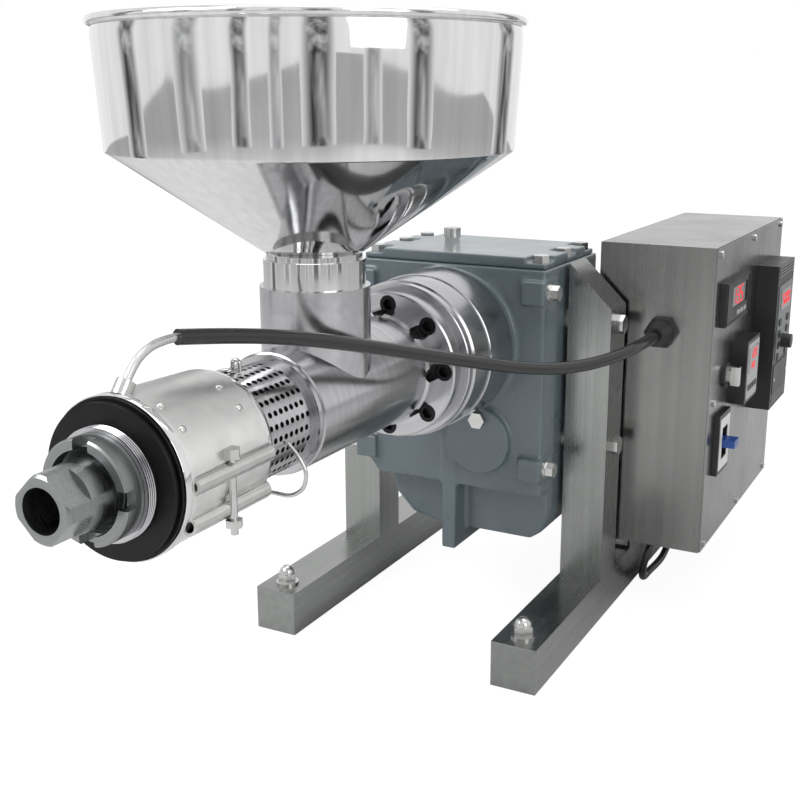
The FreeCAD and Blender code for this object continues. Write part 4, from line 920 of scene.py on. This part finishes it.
# ---------------------------------------------------------------- studio
@dataclass
class Studio:
    """A plain pale floor, soft lamps and the camera."""

    camera_at: Point = (0.5054, -1.0814, 0.6048)
    camera_yaw: float = 27.71
    camera_drop: float = 14.3
    lens: float = 52.67
    shift: tuple[float, float] = (-0.0194, -0.0191)
    floor_size: float = 12.0
    flag_height: float = 3.0
    flags: tuple[tuple[str, Point, float, float], ...] = (
        ("flag_left", (-2.4, -1.0, 0.9), 0.7, 0.06), ("flag_front", (-0.2, -3.2, 0.9), 0.5, 0.1),
        ("flag_front_right", (1.7, -2.6, 0.9), 0.9, 0.05), ("flag_right", (3.0, -0.2, 0.9), 0.8, 0.08),
        ("flag_mid_left", (-1.5, -2.6, 0.9), 0.8, 0.32), ("flag_mid_front", (0.7, -3.0, 0.9), 0.35, 0.4),
        ("flag_mid_right", (2.6, -1.5, 0.9), 0.5, 0.35), ("flag_back", (1.2, 2.8, 0.9), 1.2, 0.08),
        ("flag_back_left", (-2.2, 2.0, 0.9), 0.8, 0.08),
    )

    def camera(self) -> None:
        """Sets the camera."""
        data = bpy.data.cameras.new("camera")
        data.lens = self.lens
        data.shift_x, data.shift_y = self.shift
        data.clip_start, data.clip_end = 0.01, 50.0
        thing = bpy.data.objects.new("camera", data)
        bpy.context.scene.collection.objects.link(thing)
        yaw, drop = math.radians(self.camera_yaw), math.radians(self.camera_drop)
        back = Vector((math.sin(yaw) * math.cos(drop), -math.cos(yaw) * math.cos(drop), math.sin(drop)))
        thing.location = self.camera_at
        thing.rotation_mode = "QUATERNION"
        thing.rotation_quaternion = (-back).to_track_quat("-Z", "Y")
        bpy.context.scene.camera = thing

    def floor(self) -> None:
        """Lays the floor, which looks white away from the object's shadow."""
        half = self.floor_size / 2
        mesh = bpy.data.meshes.new("floor")
        corners = [(-half, -half, 0), (half, -half, 0), (half, half, 0), (-half, half, 0)]
        mesh.from_pydata(corners, [], [(0, 1, 2, 3)])
        thing = bpy.data.objects.new("floor", mesh)
        bpy.context.scene.collection.objects.link(thing)
        thing.location.z = -0.0005
        graph = Graph("pale_floor")
        speckle = graph.noise(30.0, 3.0)
        graph.set(Base_Color=graph.blend(speckle, (0.8, 0.8, 0.8), (0.86, 0.86, 0.86)), Roughness=0.7)
        light = graph.add("ShaderNodeEmission")
        light.inputs["Strength"].default_value = 1.16
        rays = graph.add("ShaderNodeLightPath")
        seen = graph.math("MAXIMUM", rays.outputs["Is Camera Ray"], rays.outputs["Is Transmission Ray"])
        mixer = graph.add("ShaderNodeMixShader")
        graph.join(graph.math("MULTIPLY", seen, 0.8), mixer.inputs[0])
        graph.join(graph.shader.outputs[0], mixer.inputs[1])
        graph.join(light.outputs[0], mixer.inputs[2])
        graph.join(mixer.outputs[0], graph.output.inputs["Surface"])
        mesh.materials.append(graph.material)

    def world(self) -> None:
        """Sets a soft surrounding light that is white where it is seen."""
        world = bpy.data.worlds.new("studio")
        bpy.context.scene.world = world
        world.use_nodes = True
        tree = world.node_tree
        tree.nodes.clear()
        output = tree.nodes.new("ShaderNodeOutputWorld")
        rays = tree.nodes.new("ShaderNodeLightPath")
        soft, white = tree.nodes.new("ShaderNodeBackground"), tree.nodes.new("ShaderNodeBackground")
        soft.inputs[0].default_value = white.inputs[0].default_value = shade((1.0, 1.0, 1.0))
        soft.inputs[1].default_value = 0.5
        white.inputs[1].default_value = 1.0
        first = tree.nodes.new("ShaderNodeMath")
        first.operation = "MAXIMUM"
        second = tree.nodes.new("ShaderNodeMath")
        second.operation = "MAXIMUM"
        tree.links.new(rays.outputs["Is Camera Ray"], first.inputs[0])
        tree.links.new(rays.outputs["Is Transmission Ray"], first.inputs[1])
        tree.links.new(first.outputs[0], second.inputs[0])
        tree.links.new(rays.outputs["Is Glossy Ray"], second.inputs[1])
        mixer = tree.nodes.new("ShaderNodeMixShader")
        tree.links.new(second.outputs[0], mixer.inputs[0])
        tree.links.new(soft.outputs[0], mixer.inputs[1])
        tree.links.new(white.outputs[0], mixer.inputs[2])
        tree.links.new(mixer.outputs[0], output.inputs[0])

    def lamp(self, name: str, place: Point, size: tuple[float, float], power: float) -> None:
        """Adds a soft lamp that faces the press.

        Args:
            name: the lamp's name.
            place: where it stands.
            size: its width and height.
            power: its watts.
        """
        data = bpy.data.lights.new(name, "AREA")
        data.shape = "RECTANGLE"
        data.size, data.size_y = size
        data.energy = power
        thing = bpy.data.objects.new(name, data)
        bpy.context.scene.collection.objects.link(thing)
        thing.location = place
        thing.rotation_mode = "QUATERNION"
        thing.rotation_quaternion = (Vector((0, 0, 0.3)) - Vector(place)).to_track_quat("-Z", "Y")

    def flag(self, name: str, place: Point, size: tuple[float, float], tone: float) -> None:
        """Stands a grey card that only the metals reflect.

        Args:
            name: the card's name.
            place: its centre.
            size: its width and height.
            tone: its grey.
        """
        mesh = bpy.data.meshes.new(name)
        wide, high = size[0] / 2, size[1] / 2
        corners = [(-wide, -high, 0), (wide, -high, 0), (wide, high, 0), (-wide, high, 0)]
        mesh.from_pydata(corners, [], [(0, 1, 2, 3)])
        thing = bpy.data.objects.new(name, mesh)
        bpy.context.scene.collection.objects.link(thing)
        thing.location = place
        thing.rotation_mode = "QUATERNION"
        thing.rotation_quaternion = (Vector((0, 0, place[2])) - Vector(place)).to_track_quat("-Z", "Y")
        thing.visible_camera = False
        thing.visible_diffuse = False
        thing.visible_shadow = False
        graph = Graph(name)
        light = graph.add("ShaderNodeEmission")
        split = graph.add("ShaderNodeSeparateXYZ")
        graph.join(graph.place(), split.inputs[0])
        edge = graph.between(graph.math("ABSOLUTE", split.outputs[0]), 0.0, 1.0, wide * 0.35, wide)
        drift = graph.noise(1.0, 2.0, 0.5, graph.stretched((3.0, 3.0, 0.7)))
        pale = graph.math("MAXIMUM", edge, graph.between(drift, 0.0, 0.7, 0.35, 0.7))
        graph.join(graph.blend(pale, (tone, tone, tone * 1.04), (1.0, 1.0, 1.0)), light.inputs[0])
        graph.join(light.outputs[0], graph.output.inputs["Surface"])
        mesh.materials.append(graph.material)

    def build(self) -> None:
        """Makes the whole studio."""
        self.floor()
        self.world()
        self.lamp("key", (-1.3, -1.6, 2.2), (1.6, 1.2), 36)
        self.lamp("fill", (2.3, -1.2, 1.4), (1.4, 1.8), 16)
        self.lamp("top", (0.1, 0.4, 2.6), (2.0, 2.0), 22)
        for name, place, wide, tone in self.flags:
            self.flag(name, place, (wide, self.flag_height), tone)
        self.camera()


def main() -> None:
    """Builds the studio and every sub-assembly in order."""
    logging.basicConfig(level=logging.INFO)
    bpy.ops.wm.read_factory_settings(use_empty=True)
    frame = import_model()
    bpy.context.scene.view_settings.view_transform = "Standard"
    Studio().build()
    press = Press(frame)
    for piece in (Stand(), Gearbox(), Motor(), Barrel(), HotEnd(), Hopper(), ControlBox(), Instruments()):
        piece.build(press)
        log.info("built %s", type(piece).__name__)
    HEATER_BRAID.build(press)
    HEATER_HOSE.build(press, [frame["nodes"]["cable_glands"]])
    MOTOR_LEAD.build(press)


if __name__ == "__main__":
    main()
